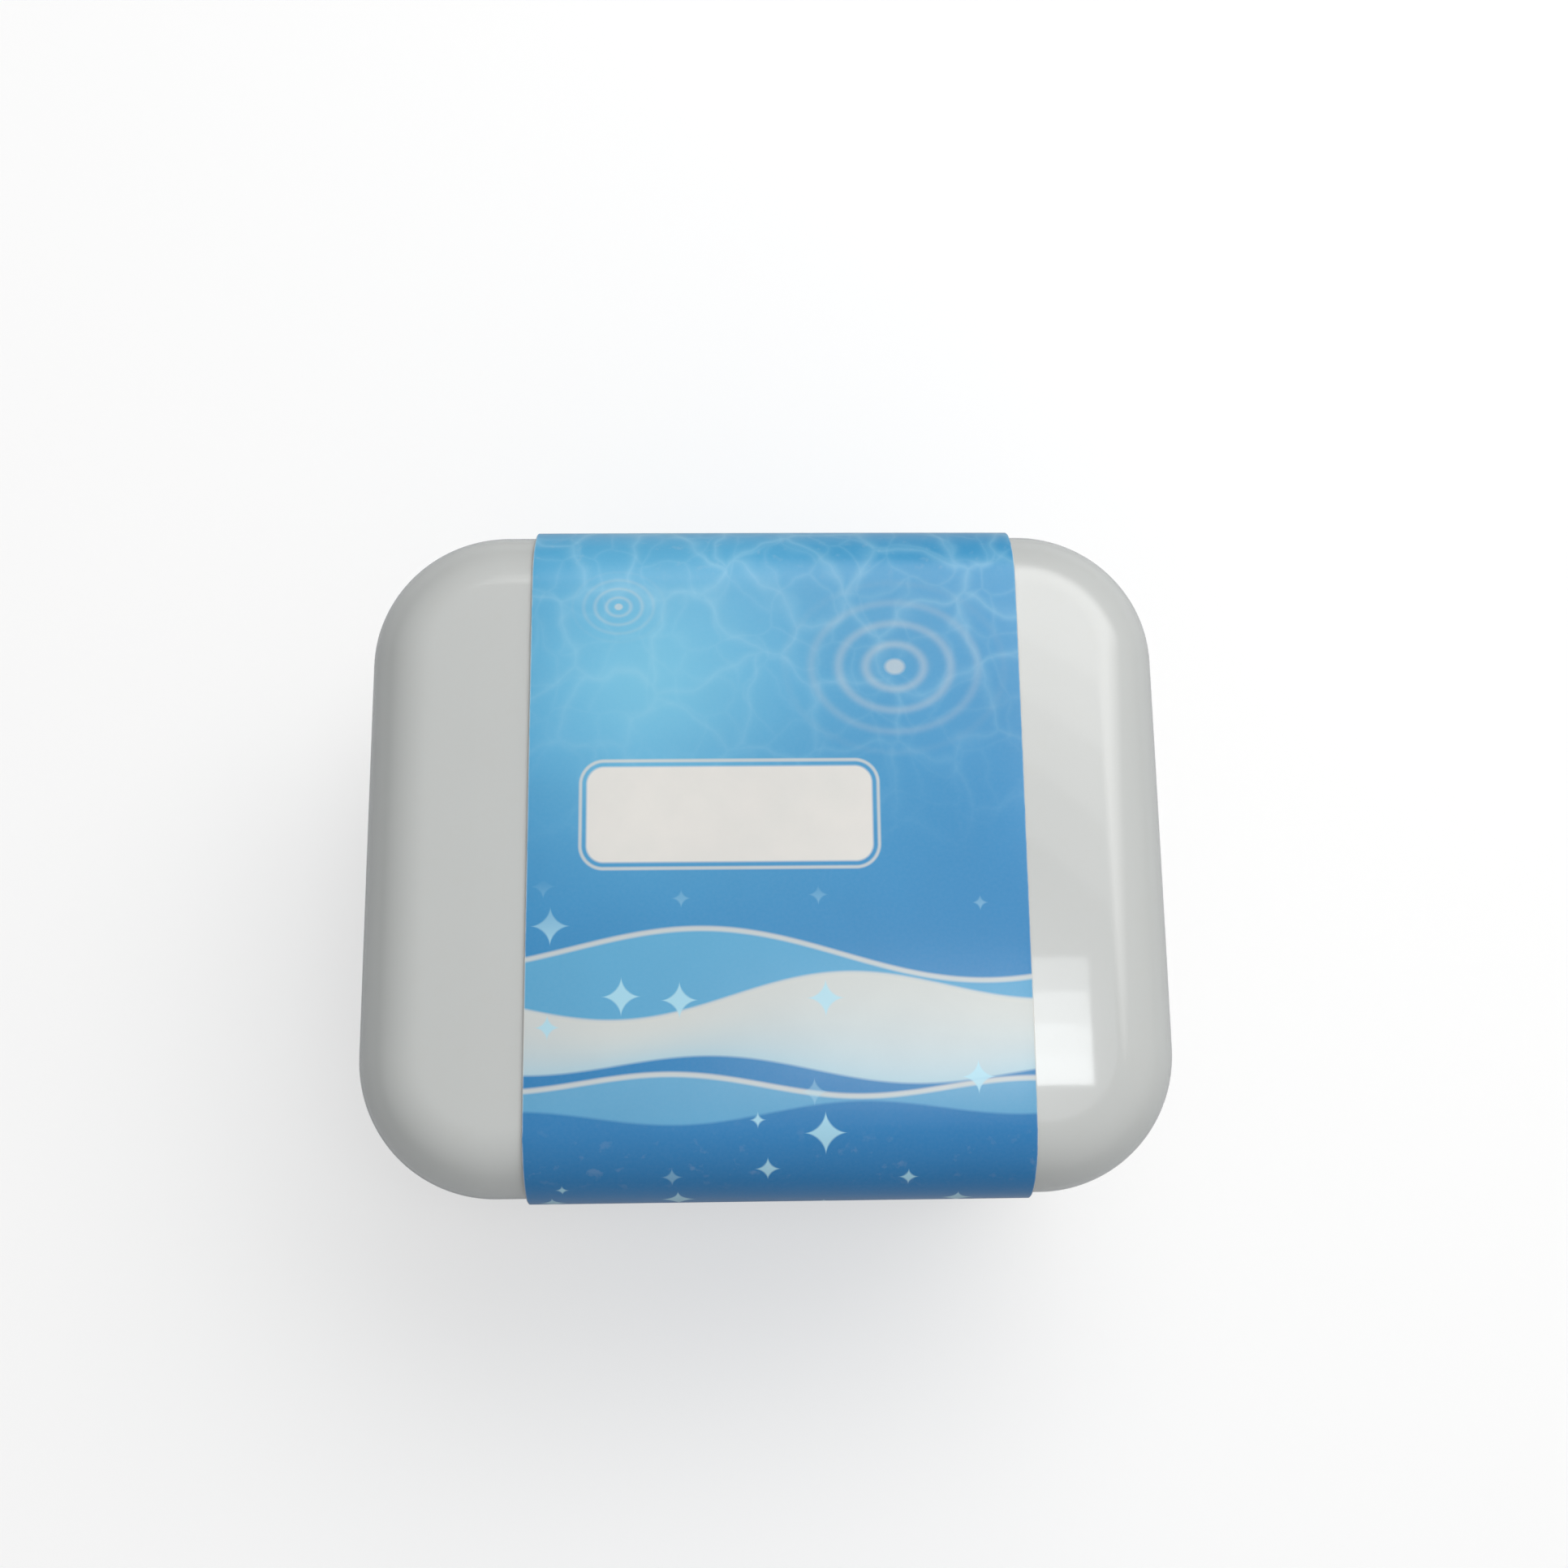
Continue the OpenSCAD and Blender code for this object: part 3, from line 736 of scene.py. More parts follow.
def glints(look, shade, across, along, tones):
    """Four-pointed glints in some of the cells of a loose net, measured with an
    exponent below one, so that their edges curve inwards."""
    cells = look.add("ShaderNodeTexVoronoi", {
        "distance": "MINKOWSKI", "voronoi_dimensions": "2D"}, {
        "Vector": look.joined(across, along), "Scale": 0.125, "Exponent": 0.6,
        "Randomness": 0.95})
    chance = look.add("ShaderNodeSeparateColor", None, {0: cells.outputs["Color"]})
    picked, size = (Signal(look, chance.outputs[i]) for i in range(2))
    glint = (Signal(look, cells.outputs["Distance"]) - size * 0.22).below(0.08, 0.06)
    zone = along.below(-8.0, 8.0) + along.above(160.0, 10.0)
    return look.mix(shade, tones.glint,
                    glint * picked.above(0.50, 0.02) * zone * 0.85)


def bare_panel(look, shade, across, along, tones):
    """A bare cream panel with a fine pale line round it: both go by the distance
    from a rectangle, out to the panel's corner radius and a little past it."""
    px, py = (abs(place - middle) - half for place, middle, half in zip(
        (across, along), PANEL_PLACE, PANEL_HALF))
    outside = (px.op("MAXIMUM", 0.0) ** 2.0 + py.op("MAXIMUM", 0.0) ** 2.0).op("SQRT")
    line = abs(outside - PANEL_CORNER - 0.7).below(0.18, 0.22)
    cream = look.mix(tones.cream, tones.foam, look.noise(220, 4.0) * 0.5)
    shade = look.mix(shade, cream, outside.below(PANEL_CORNER, 0.3))
    return look.mix(shade, tones.foam, line * 0.8)


def printed(name, tones):
    """Card with a blue water print under a gloss film, bare inside.

    The wrap is read from the piece's UV map: u goes across the sleeve and v along
    the wrap, both in millimetres from the middle of the top. Each layer of the
    print covers the shade under it. Fine dots of ink go over them all, and folds
    and cut edges are rubbed down to the card."""
    look = Look(name, IOR=1.5, Specular_IOR_Level=0.22, Coat_Roughness=0.12)
    uv = look.add("ShaderNodeUVMap", {"uv_map": "Wrap"})
    parts = look.add("ShaderNodeSeparateXYZ", None, {0: uv.outputs[0]})
    u, v = (Signal(look, parts.outputs[i]) for i in range(2))
    across = (u - 0.5) * WRAP_SCALE * 1000
    along = (v - WRAP_ORIGIN) * WRAP_SCALE * 1000
    shade = water(look, across, along, tones)
    for layer in (light_net, drop_rings, wave_bands, glints, bare_panel):
        shade = layer(look, shade, across, along, tones)
    grain, cloud = look.noise(2400, 3.0), look.noise(60, 4.0)
    shade = look.mix(shade, (0.9, 0.95, 1.0), grain * 0.03)
    shade = look.mix(shade, (0.0, 0.05, 0.14), cloud.above(0.45, 0.5) * 0.10)
    rubbed = (abs(across).above(SLEEVE_HALF * 1000 - 0.12, 0.16)
              * look.noise(500, 3.0).above(0.40, 0.3))
    fold = look.field("fold") * look.noise(700, 4.0).above(0.66, 0.12)
    wear = rubbed * 0.5 + fold * 0.10
    shade = look.mix(shade, tones.paper, wear)
    front = look.field("printed")
    fibre = look.noise(1800, 4.0, stretch=(0.25, 1.0, 1.0))
    bare = look.mix(tones.paper, np.array(tones.paper) * 0.86, fibre)
    wavy = look.bump(look.noise(38, 1.5), 0.00022, 0.35)
    return look.feed(
        Base_Color=look.mix(bare, shade, front),
        Roughness=0.62 - front * 0.34 + cloud * 0.05 + grain * 0.05 + wear * 0.25,
        Normal=look.bump(grain * 0.6 + fibre * (1.0 - front), 0.000012, 0.6, wavy),
        Coat_Weight=front * 0.32 * (1.0 - wear))


# ---------------------------------------------------------------- pieces


def lid_rows(shape):
    """The lid's wall as one closed profile: out from the middle of the top, over
    the shoulder, down to the rim, up inside past the seal's ledge, and back to
    the middle. Also how worn each row is."""
    radius, shoulder, wall = shape.corner_radius, shape.shoulder_radius, shape.lid_wall
    top, rim, edge = LID_HIGH[2], shape.rim_height, shape.edge
    inside = radius - wall
    ledge_in = inside - LEDGE_DEPTH
    ledge_low = SEAL_HIGH[2] + LEDGE_GAP
    ledge_high = ledge_low + LEDGE_HEIGHT
    turn = np.linspace(math.pi / 2, 0, 25)
    bend = np.stack([np.cos(turn), np.sin(turn)], -1)
    centre = np.array([radius - shoulder, top - shoulder])
    outer, inner = centre + shoulder * bend, centre + (shoulder - wall) * bend[::-1]
    near = rim + RIM_ROWS
    middle = soften(
        [outer[-1], *((radius, z) for z in near), (radius, rim), (inside, rim),
         *((inside, z) for z in near[::-1]), (inside, ledge_low),
         (ledge_in, ledge_low), (ledge_in, ledge_high), (inside, ledge_high), inner[0]],
        [0] * 5 + [edge, edge] + [0] * 4 + [FINE_EDGE, edge, edge, FINE_EDGE, 0], 3)
    profile = np.concatenate([outer[:-1], middle, inner[1:]])
    share = np.linspace(0.06, 1, TOP_ROWS + 1)[:-1]
    spread = np.concatenate([share, np.ones(len(profile)), share[::-1]])
    profile = np.concatenate([np.repeat(profile[:1], TOP_ROWS, 0), profile,
                              np.repeat(profile[-1:], TOP_ROWS, 0)])
    worn = np.exp(-(((profile[:, 1] - rim) / RIM_WEAR) ** 2))
    return np.column_stack([spread, profile]), worn


def build_lid(settings):
    """The lid: its crowned shell, the latch tongue with its window, and two hinge
    lugs whose knuckles turn on the pins."""
    shape = settings.shape
    mesher = Mesher()
    rows, worn = lid_rows(shape)
    _, (centre, normal) = shell_outline(shape, 36, 20)
    mesher.add(crowned(carried(rows, centre, normal), shape), worn=worn[:, None])
    low, high = LID_LOW[2], shape.rim_height + ROOT
    inside = SLEEVE_HIGH[1] - LID_TO_SLEEVE - shape.lid_wall
    pad = (BUTTON_LOW + BUTTON_HIGH) / 2
    tongue = (0, (low + high) / 2, TONGUE_WIDTH / 2, (high - low) / 2, TONGUE_CORNER)
    window = (0, pad[2], LATCH_WINDOW[0] / 2, LATCH_WINDOW[1] / 2, WINDOW_CORNER)
    framed(mesher, tongue, window, -inside - TONGUE_THICKNESS, -inside, shape.edge,
           worn=0.35)
    pin = (PIN_LOW + PIN_HIGH) / 2
    arm_low = pin[2] + ARM_LIFT
    for side in (-1, 1):
        knuckle = turned(box_loop((-LUG_HALF, BORE_RADIUS), (LUG_HALF, KNUCKLE_RADIUS),
                                  KNUCKLE_EDGE))
        mesher.add(knuckle + (side * LUG_X, pin[1], pin[2]), ring=True, worn=0.4)
        arm = (side * LUG_X, (arm_low + high) / 2, LUG_HALF, (high - arm_low) / 2,
               LUG_CORNER)
        slab(mesher, arm, inside, pin[1] + KNUCKLE_RADIUS - ARM_INSET, FINE_EDGE,
             worn=0.2)
    piece = mesher.piece("lid_shell", moulded("Lid plastic", settings.colours.shell))
    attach(piece, "lid")
    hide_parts("lid")


def dress(node, look):
    """Gives a solid that stays in the picture its finish."""
    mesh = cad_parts[node].data
    mesh.materials.clear()
    mesh.materials.append(look)
    mesh.polygons.foreach_set("material_index", np.zeros(len(mesh.polygons), np.int32))


def dress_tub(settings):
    """The tub keeps its solid, in shell plastic whose rim and foot are rubbed."""
    def worn(z):
        return abs(z - TUB_RIM).below(0.35, 0.3) + z.below(1.0, 0.8) * 0.7

    dress("tub", moulded("Tub plastic", settings.colours.shell, worn=worn))


def dress_basket(settings):
    """The rinsing basket keeps its solid, in cool white plastic that is clouded by
    use, with its rim rubbed."""
    def worn(z):
        return abs(z - BASKET_RIM).below(0.5, 0.4)

    dress("rinsing_basket", moulded(
        "Basket plastic", settings.colours.basket, 0.3, 0.9, worn))


def build_seal(settings):
    """The silicone ring: a rounded square section carried round the lid."""
    half, (centre, normal) = shell_outline(settings.shape, 16, 6)
    outer = SEAL_HIGH[0] - half[0]
    section = box_loop((outer - SEAL_WIDTH, SEAL_LOW[2]), (outer, SEAL_HIGH[2]),
                       SEAL_CORNER)
    rows = np.column_stack([np.ones(len(section)), section])
    mesher = Mesher().add(carried(rows, centre, normal), ring=True, worn=0.2)
    piece = mesher.piece("seal_ring", silicone("Silicone", settings.colours.seal))
    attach(piece, "lid")
    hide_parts("lid_seal")


def build_metal(settings):
    """Steel for the two hinge pins, and the bowed leaf spring behind the button.

    The leaf lies between two arcs of one centre, a thickness apart, and both end
    at the depth of the pocket. Its crown bears on the button and its ends on the
    pocket."""
    steel = brushed("Drawn steel", settings.colours.steel)
    for node in ("hinge_pin_left", "hinge_pin_right"):
        dress(node, steel)
    reach = SPRING_HIGH[0]
    depth, half_z = SPRING_HIGH[1] - SPRING_LOW[1], (SPRING_HIGH[2] - SPRING_LOW[2]) / 2
    bend = (reach ** 2 + depth ** 2) / (2 * depth)
    section = box_loop((0, -half_z), (LEAF_THICKNESS, half_z), LEAF_EDGE)
    radius = bend - section[:, 0]
    turn = np.linspace(-1, 1, 41)[:, None] * np.arccos((bend - depth) / radius)
    height = np.broadcast_to(section[:, 1], turn.shape)
    grid = np.stack([radius * np.sin(turn), bend - radius * np.cos(turn), height], -1)
    grid += (0, SPRING_LOW[1], (SPRING_LOW[2] + SPRING_HIGH[2]) / 2)
    piece = Mesher().add(grid).piece("spring_leaf", steel)
    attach(piece, "case")
    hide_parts("latch_spring")
    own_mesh(piece)


def build_latch(settings):
    """The push button with its hollow pad and flange, and the plate round it.

    The pad's face is its outline drawn in towards the middle, hollowed by a
    parabola across that fades out near the edge. A quarter turn rounds the edge,
    and the side runs straight back into the flange."""
    colours = settings.colours
    pad_z = float(BUTTON_LOW[2] + BUTTON_HIGH[2]) / 2
    front, flange_front = BUTTON_LOW[1], BUTTON_HIGH[1] - FLANGE_THICKNESS
    share = np.linspace(0.05, 1, 9)
    full = upright(*drawn((0, 0, PAD_X, PAD_Z, PAD_CORNER), PAD_EDGE, 0), 0, 8, 6)
    face = full[None] * share[:, None, None]
    hollow = DISH_DEPTH * np.clip(1 - (face[..., 0] / DISH_HALF) ** 2, 0, 1)
    face[..., 1] = front + hollow * np.clip((1.02 - share[:, None]) * 6, 0, 1)
    turn = np.linspace(0, math.pi / 2, 5)[1:, None, None]
    grown = upright(0, 0, PAD_X, PAD_Z, PAD_CORNER, 0, 8, 6)[None]
    side = full[None] + (grown - full[None]) * np.sin(turn)
    side[..., 1] = front + PAD_EDGE * (1 - np.cos(turn[..., 0]))
    back = grown.copy()
    back[..., 1] = flange_front + FINE_EDGE
    grid = np.concatenate([face, side, back]) + (0, 0, pad_z)
    worn = np.zeros(len(grid))
    worn[len(face) - 1:-1] = 0.8
    mesher = Mesher().add(grid, worn=worn[:, None])
    flange = (0, pad_z, BUTTON_HIGH[0], (BUTTON_HIGH[2] - BUTTON_LOW[2]) / 2,
              FLANGE_CORNER)
    slab(mesher, flange, flange_front, BUTTON_HIGH[1], FINE_EDGE, worn=0.1)
    button = mesher.piece("button_cap", moulded("Button plastic", colours.button, 0.3))
    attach(button, "button")
    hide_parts("latch_button")
    mesher = Mesher()
    outer = (0, pad_z, BEZEL_HIGH[0], (BEZEL_HIGH[2] - BEZEL_LOW[2]) / 2, BEZEL_CORNER)
    hole = (0, pad_z, LATCH_WINDOW[0] / 2, LATCH_WINDOW[1] / 2, WINDOW_CORNER)
    framed(mesher, outer, hole, BEZEL_LOW[1], BEZEL_HIGH[1], FINE_EDGE, worn=0.3)
    bezel = mesher.piece("bezel_plate", moulded("Bezel plastic", colours.shell, 0.29))
    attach(bezel, "case")
    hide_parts("latch_bezel")


def build_handle(settings):
    """The handle: a rounded bar carried along a U, with an eye and a stud at each
    end. Each point is the path's point plus the section's width along the path's
    sideways direction and its height along Z."""
    pivot_z = float(HANDLE_LOW[2] + HANDLE_HIGH[2]) / 2
    reach, half, tall = HANDLE_HIGH[0], BAR_WIDTH / 2, BAR_HEIGHT / 2
    eye_x, front = reach - STUD_LENGTH - half, HANDLE_LOW[1] + half
    path = soften([(eye_x, 0), (eye_x, front), (-eye_x, front), (-eye_x, 0)],
                  [0, HANDLE_BEND, HANDLE_BEND, 0], 12)
    ahead = heading(path)
    sideways = np.stack([ahead[:, 1], -ahead[:, 0]], -1)
    section = box_loop((-half, -tall), (half, tall), BAR_CORNER, 4)
    flat = path[:, None] + sideways[:, None] * section[None, :, :1]
    height = np.broadcast_to(section[None, :, 1:] + pivot_z, flat.shape[:2] + (1,))
    mesher = Mesher().add(np.concatenate([flat, height], -1), worn=0.15)
    eye = turned([(eye_x - half, EYE_FACE), (eye_x - half + CHAMFER, EYE_RADIUS),
                  (eye_x + half - CHAMFER, EYE_RADIUS), (eye_x + half, EYE_FACE)])
    stud = turned([(eye_x, STUD_RADIUS), (reach - CHAMFER, STUD_RADIUS),
                   (reach, STUD_TIP)], 24)
    for side in (-1, 1):
        for grid in (eye, stud):
            mesher.add(grid * (side, 1, 1) + (0, 0, pivot_z), worn=0.3)
    piece = mesher.piece("handle_bail", moulded(
        "Handle plastic", settings.colours.basket, 0.29, 0.6))
    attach(piece, "handle")
    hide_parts("basket_handle")


def card_strip(name, look, path, shape, at_start, crown=False, fold=0.0):
    """A strip of card that follows a line in the plane of Y and Z.

    The section is a thin rounded rectangle as wide as the sleeve. Its points are
    the line's point plus half the thickness along the line's outward direction.
    With crown it follows the lid's crown. The field printed is 1 on the outside, u
    is the place across, and v the length along the wrap, counted from the middle
    of the top. The field fold tells where the print is creased. Returns the piece
    and the length along at its end."""
    ahead = heading(path)
    outward = np.stack([-ahead[:, 1], ahead[:, 0]], -1)
    along = at_start + run(path)
    edges = np.array([SLEEVE_HALF, SLEEVE_HALF])
    wide = (np.linspace(-SLEEVE_HALF, SLEEVE_HALF, CARD_COLUMNS)
            * (1 - shape.card * 0.25 / SLEEVE_HALF))
    x = np.concatenate([-edges, wide, edges, wide[::-1]])
    out = np.concatenate([[0.25, -0.25], np.full(CARD_COLUMNS, -0.5),
                          [-0.25, 0.25], np.full(CARD_COLUMNS, 0.5)]) * shape.card
    face = np.repeat([0.0, 1.0], [CARD_COLUMNS + 4, CARD_COLUMNS])[None]
    grid = np.zeros((len(path), len(x), 3))
    grid[..., 0] = x + SLEEVE_MIDDLE
    grid[..., 1:] = path[:, None] + outward[:, None] * out[None, :, None]
    if crown:
        grid = crowned(grid, shape)
    shoulder = np.clip(1 - np.abs(np.abs(along) - FOLD_PLACE) / FOLD_WIDTH, 0, 1)
    mesher = Mesher().add(
        grid, u=0.5 + x / WRAP_SCALE, v=WRAP_ORIGIN + along[:, None] / WRAP_SCALE,
        printed=face, fold=(shoulder[:, None] + fold) * face)
    return mesher.piece(name, look), float(along[-1])


def dense(points):
    """A line with points added on its long straights: each stretch longer than
    the card's step is cut into equal steps."""
    out = [points[:1]]
    for a, b in zip(points[:-1], points[1:]):
        count = max(1, math.ceil(np.linalg.norm(b - a) / CARD_STEP))
        out.append(a + (b - a) * np.linspace(0, 1, count + 1)[1:, None])
    return np.concatenate(out)


def touching(point, centre, radius, floor, side):
    """The corner where a line from a point, touching a circle, meets the level
    under it. The touching angle is the point's own angle from the centre, plus or
    minus the arc cosine of radius over distance."""
    away = np.subtract(point, centre)
    angle = (math.atan2(away[1], away[0])
             + side * math.acos(radius / np.linalg.norm(away)))
    touch = centre + radius * np.array([math.cos(angle), math.sin(angle)])
    slide = (floor - touch[1]) / (touch[1] - point[1])
    return touch + (touch - point) * slide


def build_sleeve(settings):
    """The card sleeve: the upper part with its lap, the lower part, and the crease
    at the back."""
    shape, look = settings.shape, printed("Printed card", settings.colours)
    floor = shape.card / 2
    side, top = SLEEVE_HIGH[1] - floor, SLEEVE_HIGH[2] - floor
    back_z = shape.rim_height - CREASE_INSET
    shoulder, base = shape.shoulder_radius + CARD_GAP + floor, shape.base_radius
    over = dense(soften(
        [(side, back_z), (side, top), (-side, top), (-side, shape.lap_start),
         (LAP_END_Y, shape.lap_end)], [0, shoulder, shoulder, LAP_BEND, 0], 14))
    middle = np.interp(0, -over[:, 0], run(over))
    upper, end = card_strip("sleeve_card_upper", look, over[::-1], shape,
                            middle - run(over)[-1], crown=True)
    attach(upper, "sleeve_flap")
    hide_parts("sleeve_upper")
    front_centre = np.array([-shape.base_reach, floor + base])
    front_top = np.array([LOWER_LOW[1] + floor, shape.lap_start])
    back_top = np.array([LOWER_HIGH[1] - floor, LOWER_HIGH[2]])
    under = dense(soften(
        [front_top, touching(front_top, front_centre, base, floor, 1),
         touching(back_top, front_centre * (-1, 1), base, floor, -1), back_top],
        [0, base, base, 0], 12))
    low_end = back_top - (0, CREASE_INSET)
    high_end = np.array([side, back_z + CREASE_INSET])
    crease = low_end * (1 - CREASE_ROWS) + high_end * CREASE_ROWS
    lower, _ = card_strip("sleeve_card_lower", look, under[::-1], shape,
                          end + run(crease)[-1])
    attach(lower, "sleeve")
    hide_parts("sleeve_lower")
    strip, _ = card_strip("sleeve_crease", look, crease, shape, end, fold=0.8)
    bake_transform(strip)


# ---------------------------------------------------------------- stage


def build_stage(scene):
    """A pale floor, soft light and the camera of the photograph."""
    studio = scene.denture_case.studio
    floor_sheet()
    scene.world = scene.world or bpy.data.worlds.new("Studio")
    dome(scene.world, studio.sky_light)
    key_lamps(studio.key_light)
    window_lamps(studio.window_light)
    scene.camera = camera_of_photo(studio)
    scene.view_settings.view_transform = "Standard"


def key_lamps(power):
    """A soft box whose light fades at its rim: nested panels of one brightness,
    a millimetre apart, that share the power by their areas."""
    panels = [(KEY_SIZE[0] * k, KEY_SIZE[1] * k) for k in KEY_PANELS]
    whole = sum(wide * tall for wide, tall in panels)
    for k, (wide, tall) in enumerate(panels):
        lamp(f"key_lamp_{k}", (*KEY_PLACE[:2], KEY_PLACE[2] + k * MM), KEY_AIM,
             (wide, tall), power * wide * tall / whole, KEY_TINT)


def window_lamps(whole):
    """A window on the right: columns that dim to the left over the card, each in
    strips that dim towards the back."""
    step = 2 * WINDOW_HALF / WINDOW_STRIPS
    for column, (x, wide, share) in enumerate(WINDOW_COLUMNS):
        power = whole * share * wide / WINDOW_COLUMNS[0][1]
        for k in range(WINDOW_STRIPS):
            y = -WINDOW_HALF + step * (k + 0.5)
            lamp(f"window_lamp_{column}_{k}", (x, y, WINDOW_HEIGHT), (x, y, 0.0),
                 (wide, step), power / WINDOW_STRIPS * (1 - (k / WINDOW_STRIPS) ** 1.5),
                 WINDOW_TINT)


def camera_of_photo(studio):
    """The camera: its back direction comes from azimuth and elevation, its right
    side is level before it is rolled, and it stands back from the target by the
    distance."""
    camera = bpy.data.cameras.new("camera")
    camera.sensor_width, camera.lens = 36.0, studio.lens
    camera.clip_start, camera.clip_end = 0.01, 20.0
    a, e, roll = studio.azimuth, studio.elevation, studio.roll
    back = Vector((-math.sin(a) * math.cos(e), -math.cos(a) * math.cos(e), math.sin(e)))
    level = (-back).cross(Vector((0, 0, 1))).normalized()
    above = level.cross(-back)
    right = math.cos(roll) * level + math.sin(roll) * above
    up = -math.sin(roll) * level + math.cos(roll) * above
    turn = Matrix((right, up, back)).transposed().to_4x4()
    holder = linked("camera", camera)
    holder.matrix_world = (Matrix.Translation(
        Vector(studio.target) + back * studio.distance) @ turn)
    return holder


def linked(name, data):
    """An object in the scene that shows the data."""
    holder = bpy.data.objects.new(name, data)
    bpy.context.scene.collection.objects.link(holder)
    return holder


def floor_sheet():
    """A pale matt square sheet: the camera sees it partly white by itself near the
    case, where it keeps a light shadow, and plain white far off. It throws less
    light back up at the object than it shows."""
    mesh = bpy.data.meshes.new("floor")
    half = FLOOR_HALF
    mesh.from_pydata([(-half, -half, 0.0), (half, -half, 0.0), (half, half, 0.0),
                      (-half, half, 0.0)], [], [(0, 1, 2, 3)])
    look = Look("Pale floor", Roughness=0.8, Specular_IOR_Level=0.1,
                Emission_Strength=1.0)
    seen = look.seen()
    x, y, _ = look.axes()
    far = (x * x + y * y).op("SQRT").above(FADE_PLACE, FADE_WIDTH)
    white = (far * (1.0 - FLOOR_WHITE) + FLOOR_WHITE) * Signal(look, seen)
    near = look.mix((0.50, 0.51, 0.52), (0.96, 0.96, 0.96), seen)
    mesh.materials.append(look.feed(
        Base_Color=look.mix(near, (0.0, 0.0, 0.0), white),
        Emission_Color=look.mix((0.0, 0.0, 0.0), (1.0, 1.0, 1.0), white)))
    return linked("floor", mesh)


def dome(world, strength):
    """Light from all round, brightest in one direction, up and to the right, and
    dimmest opposite it: by the dot product with it. The camera sees white."""
    world.use_nodes = True
    nodes = Nodes(world.node_tree)
    direction = nodes.add("ShaderNodeTexCoord").outputs["Generated"]
    share = nodes.add("ShaderNodeVectorMath", {"operation": "DOT_PRODUCT"},
                      {0: direction, 1: BRIGHT_SIDE}).outputs["Value"]
    ramp = nodes.add("ShaderNodeValToRGB", {"stops": [
        (0.29, (0.09, 0.10, 0.11)), (0.93, (1.0, 1.0, 1.0))]},
        {0: Signal(nodes, share) + 0.5})
    sky = nodes.add("ShaderNodeBackground", None, {0: ramp.outputs[0], 1: strength})
    white = nodes.add("ShaderNodeBackground", None, {0: (1.0, 1.0, 1.0)})
    both = nodes.add("ShaderNodeMixShader", None, {
        0: nodes.seen(), 1: sky.outputs[0], 2: white.outputs[0]})
    nodes.add("ShaderNodeOutputWorld", None, {0: both.outputs[0]})


def lamp(name, place, target, size, power, tint):
    """A rectangular soft lamp that faces a point."""
    light = bpy.data.lights.new(name, "AREA")
    light.shape, light.size, light.size_y = "RECTANGLE", *size
    light.energy, light.color = power, tint
    away = Vector(place) - Vector(target)
    linked(name, light).matrix_world = (
        Matrix.Translation(place) @ away.to_track_quat("Z", "Y").to_matrix().to_4x4())


# ---------------------------------------------------------------- operators


class DENTURECASE_OT_stage(bpy.types.Operator):
    """Set up the floor, the light and the camera"""

    bl_idname = "denturecase.stage"
    bl_label = "Stage"

    def execute(self, context):
        build_stage(context.scene)
        return {"FINISHED"}


class DENTURECASE_OT_tub(bpy.types.Operator):
    """Finish the tub"""

    bl_idname = "denturecase.tub"
    bl_label = "Tub"

    def execute(self, context):
        dress_tub(context.scene.denture_case)
        return {"FINISHED"}


class DENTURECASE_OT_lid(bpy.types.Operator):
    """Build the lid with its latch tongue and hinge lugs"""

    bl_idname = "denturecase.lid"
    bl_label = "Lid"

    def execute(self, context):
        build_lid(context.scene.denture_case)
        return {"FINISHED"}


class DENTURECASE_OT_seal(bpy.types.Operator):
    """Build the silicone seal inside the lid"""

    bl_idname = "denturecase.seal"
    bl_label = "Seal"

    def execute(self, context):
        build_seal(context.scene.denture_case)
        return {"FINISHED"}


class DENTURECASE_OT_metal(bpy.types.Operator):
    """Finish the hinge pins and build the leaf spring"""

    bl_idname = "denturecase.metal"
    bl_label = "Metal parts"

    def execute(self, context):
        build_metal(context.scene.denture_case)
        return {"FINISHED"}


class DENTURECASE_OT_latch(bpy.types.Operator):
    """Build the push button and the plate round it"""

    bl_idname = "denturecase.latch"
    bl_label = "Latch"

    def execute(self, context):
        build_latch(context.scene.denture_case)
        return {"FINISHED"}


class DENTURECASE_OT_basket(bpy.types.Operator):
    """Finish the rinsing basket"""

    bl_idname = "denturecase.basket"
    bl_label = "Basket"

    def execute(self, context):
        dress_basket(context.scene.denture_case)
        return {"FINISHED"}


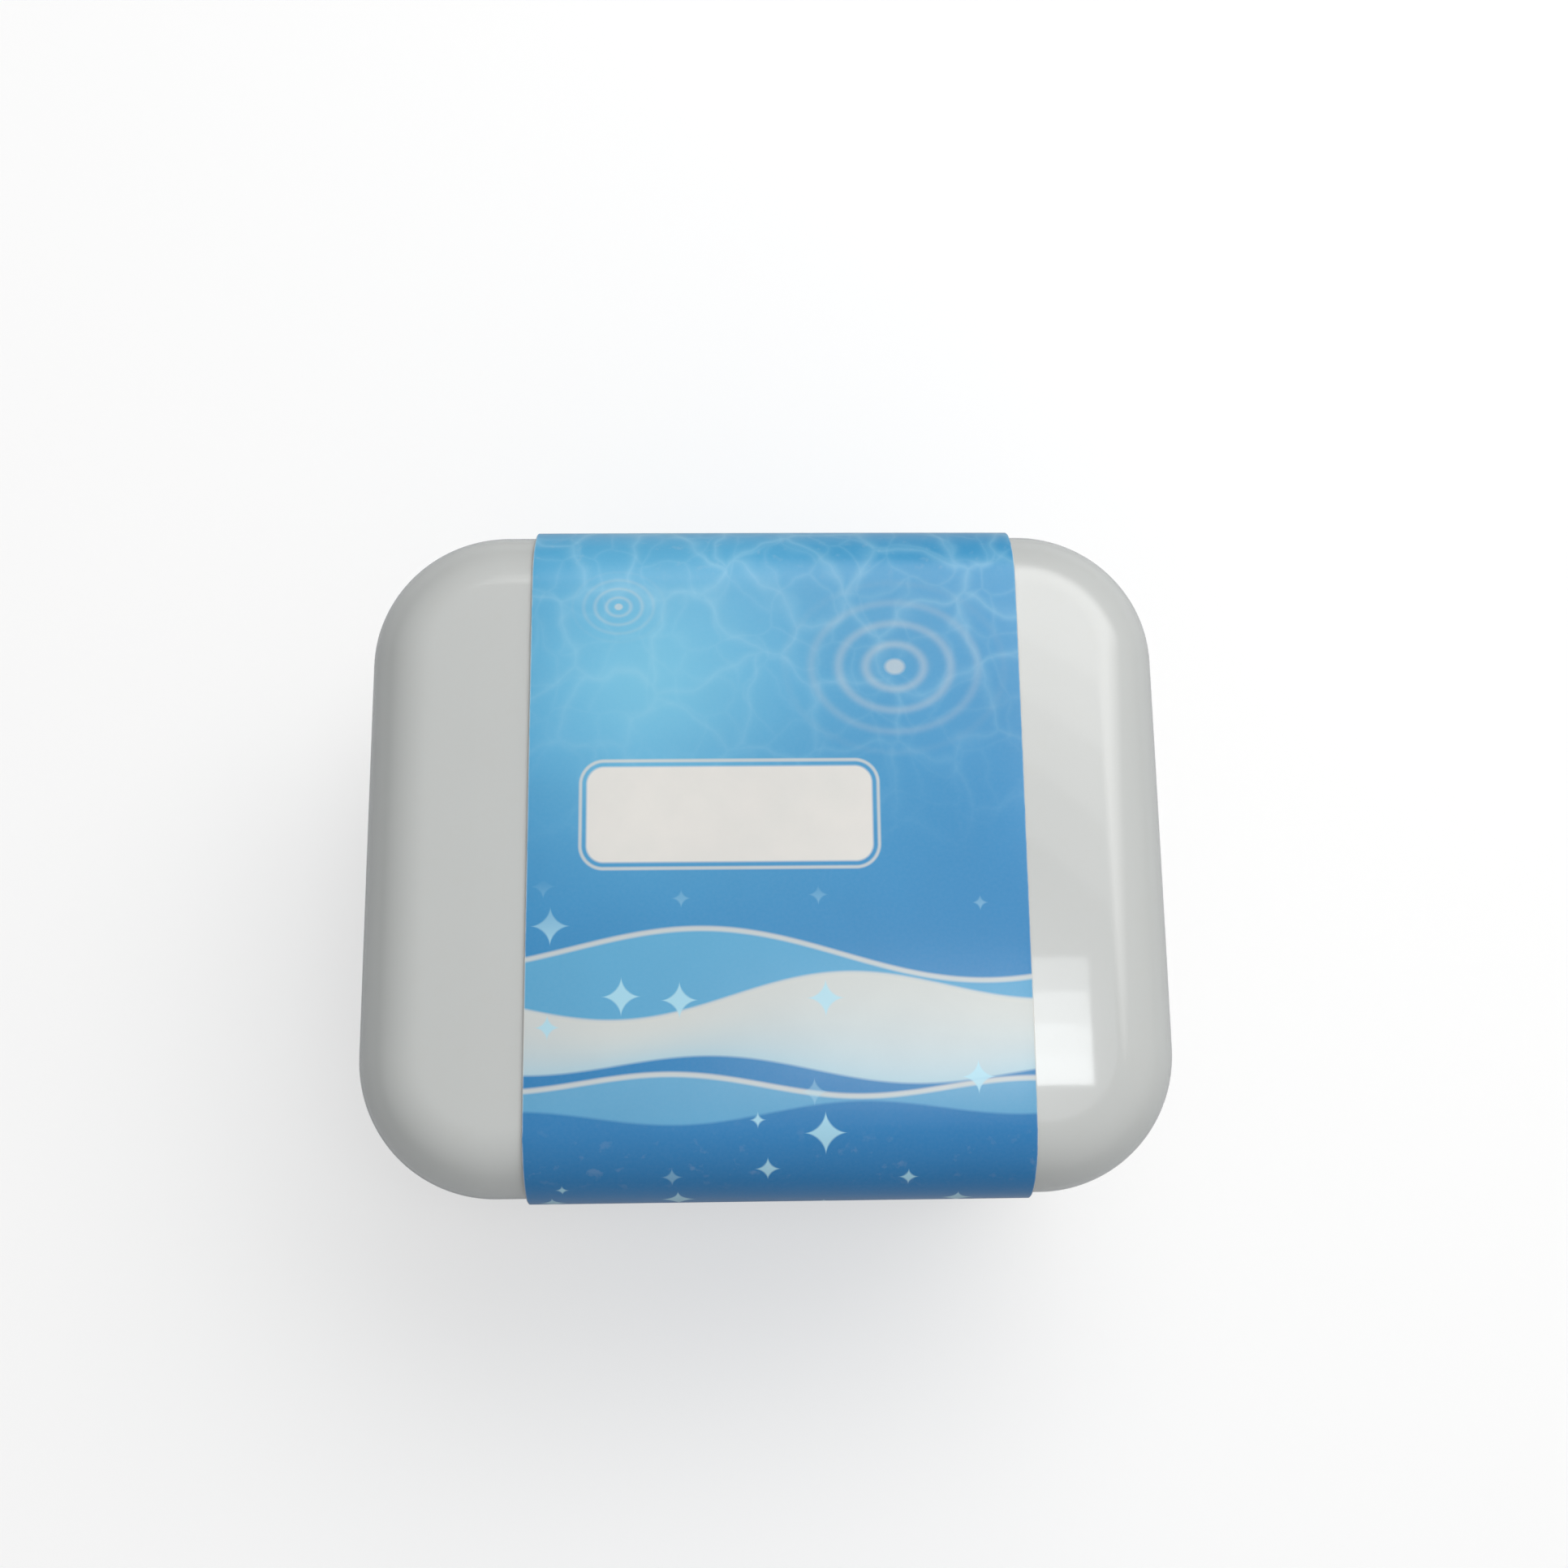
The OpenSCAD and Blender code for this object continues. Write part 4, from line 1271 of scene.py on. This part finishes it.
class DENTURECASE_OT_handle(bpy.types.Operator):
    """Build the basket's handle"""

    bl_idname = "denturecase.handle"
    bl_label = "Handle"

    def execute(self, context):
        build_handle(context.scene.denture_case)
        return {"FINISHED"}


class DENTURECASE_OT_sleeve(bpy.types.Operator):
    """Build the printed card sleeve"""

    bl_idname = "denturecase.sleeve"
    bl_label = "Sleeve"

    def execute(self, context):
        build_sleeve(context.scene.denture_case)
        return {"FINISHED"}


OPERATORS = (
    DENTURECASE_OT_stage, DENTURECASE_OT_tub, DENTURECASE_OT_lid,
    DENTURECASE_OT_seal, DENTURECASE_OT_metal, DENTURECASE_OT_latch,
    DENTURECASE_OT_basket, DENTURECASE_OT_handle, DENTURECASE_OT_sleeve,
)


class DENTURECASE_PT_panel(bpy.types.Panel):
    """Lists the steps that build the case, and the settings they read"""

    bl_idname = "DENTURECASE_PT_panel"
    bl_label = "Denture Case"
    bl_space_type = "VIEW_3D"
    bl_region_type = "UI"
    bl_category = "Denture Case"

    def draw(self, context):
        for operator in OPERATORS:
            self.layout.operator(operator.bl_idname)
        settings = context.scene.denture_case
        for group in (settings.shape, settings.colours, settings.studio):
            box = self.layout.box()
            for name in group.bl_rna.properties.keys():
                if name not in ("rna_type", "name"):
                    box.prop(group, name)


CLASSES = (
    DENTURECASE_PG_shape, DENTURECASE_PG_colours, DENTURECASE_PG_studio,
    DENTURECASE_PG_settings, *OPERATORS, DENTURECASE_PT_panel,
)


def register():
    for item in CLASSES:
        bpy.utils.register_class(item)
    bpy.types.Scene.denture_case = bpy.props.PointerProperty(
        type=DENTURECASE_PG_settings)


def unregister():
    del bpy.types.Scene.denture_case
    for item in reversed(CLASSES):
        bpy.utils.unregister_class(item)


def main():
    """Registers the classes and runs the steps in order."""
    register()
    for operator in OPERATORS:
        step = operator.bl_idname.split(".")[1]
        if getattr(bpy.ops.denturecase, step)() != {"FINISHED"}:
            raise RuntimeError(f"{operator.bl_label} wasn't finished")


if __name__ == "__main__":
    main()
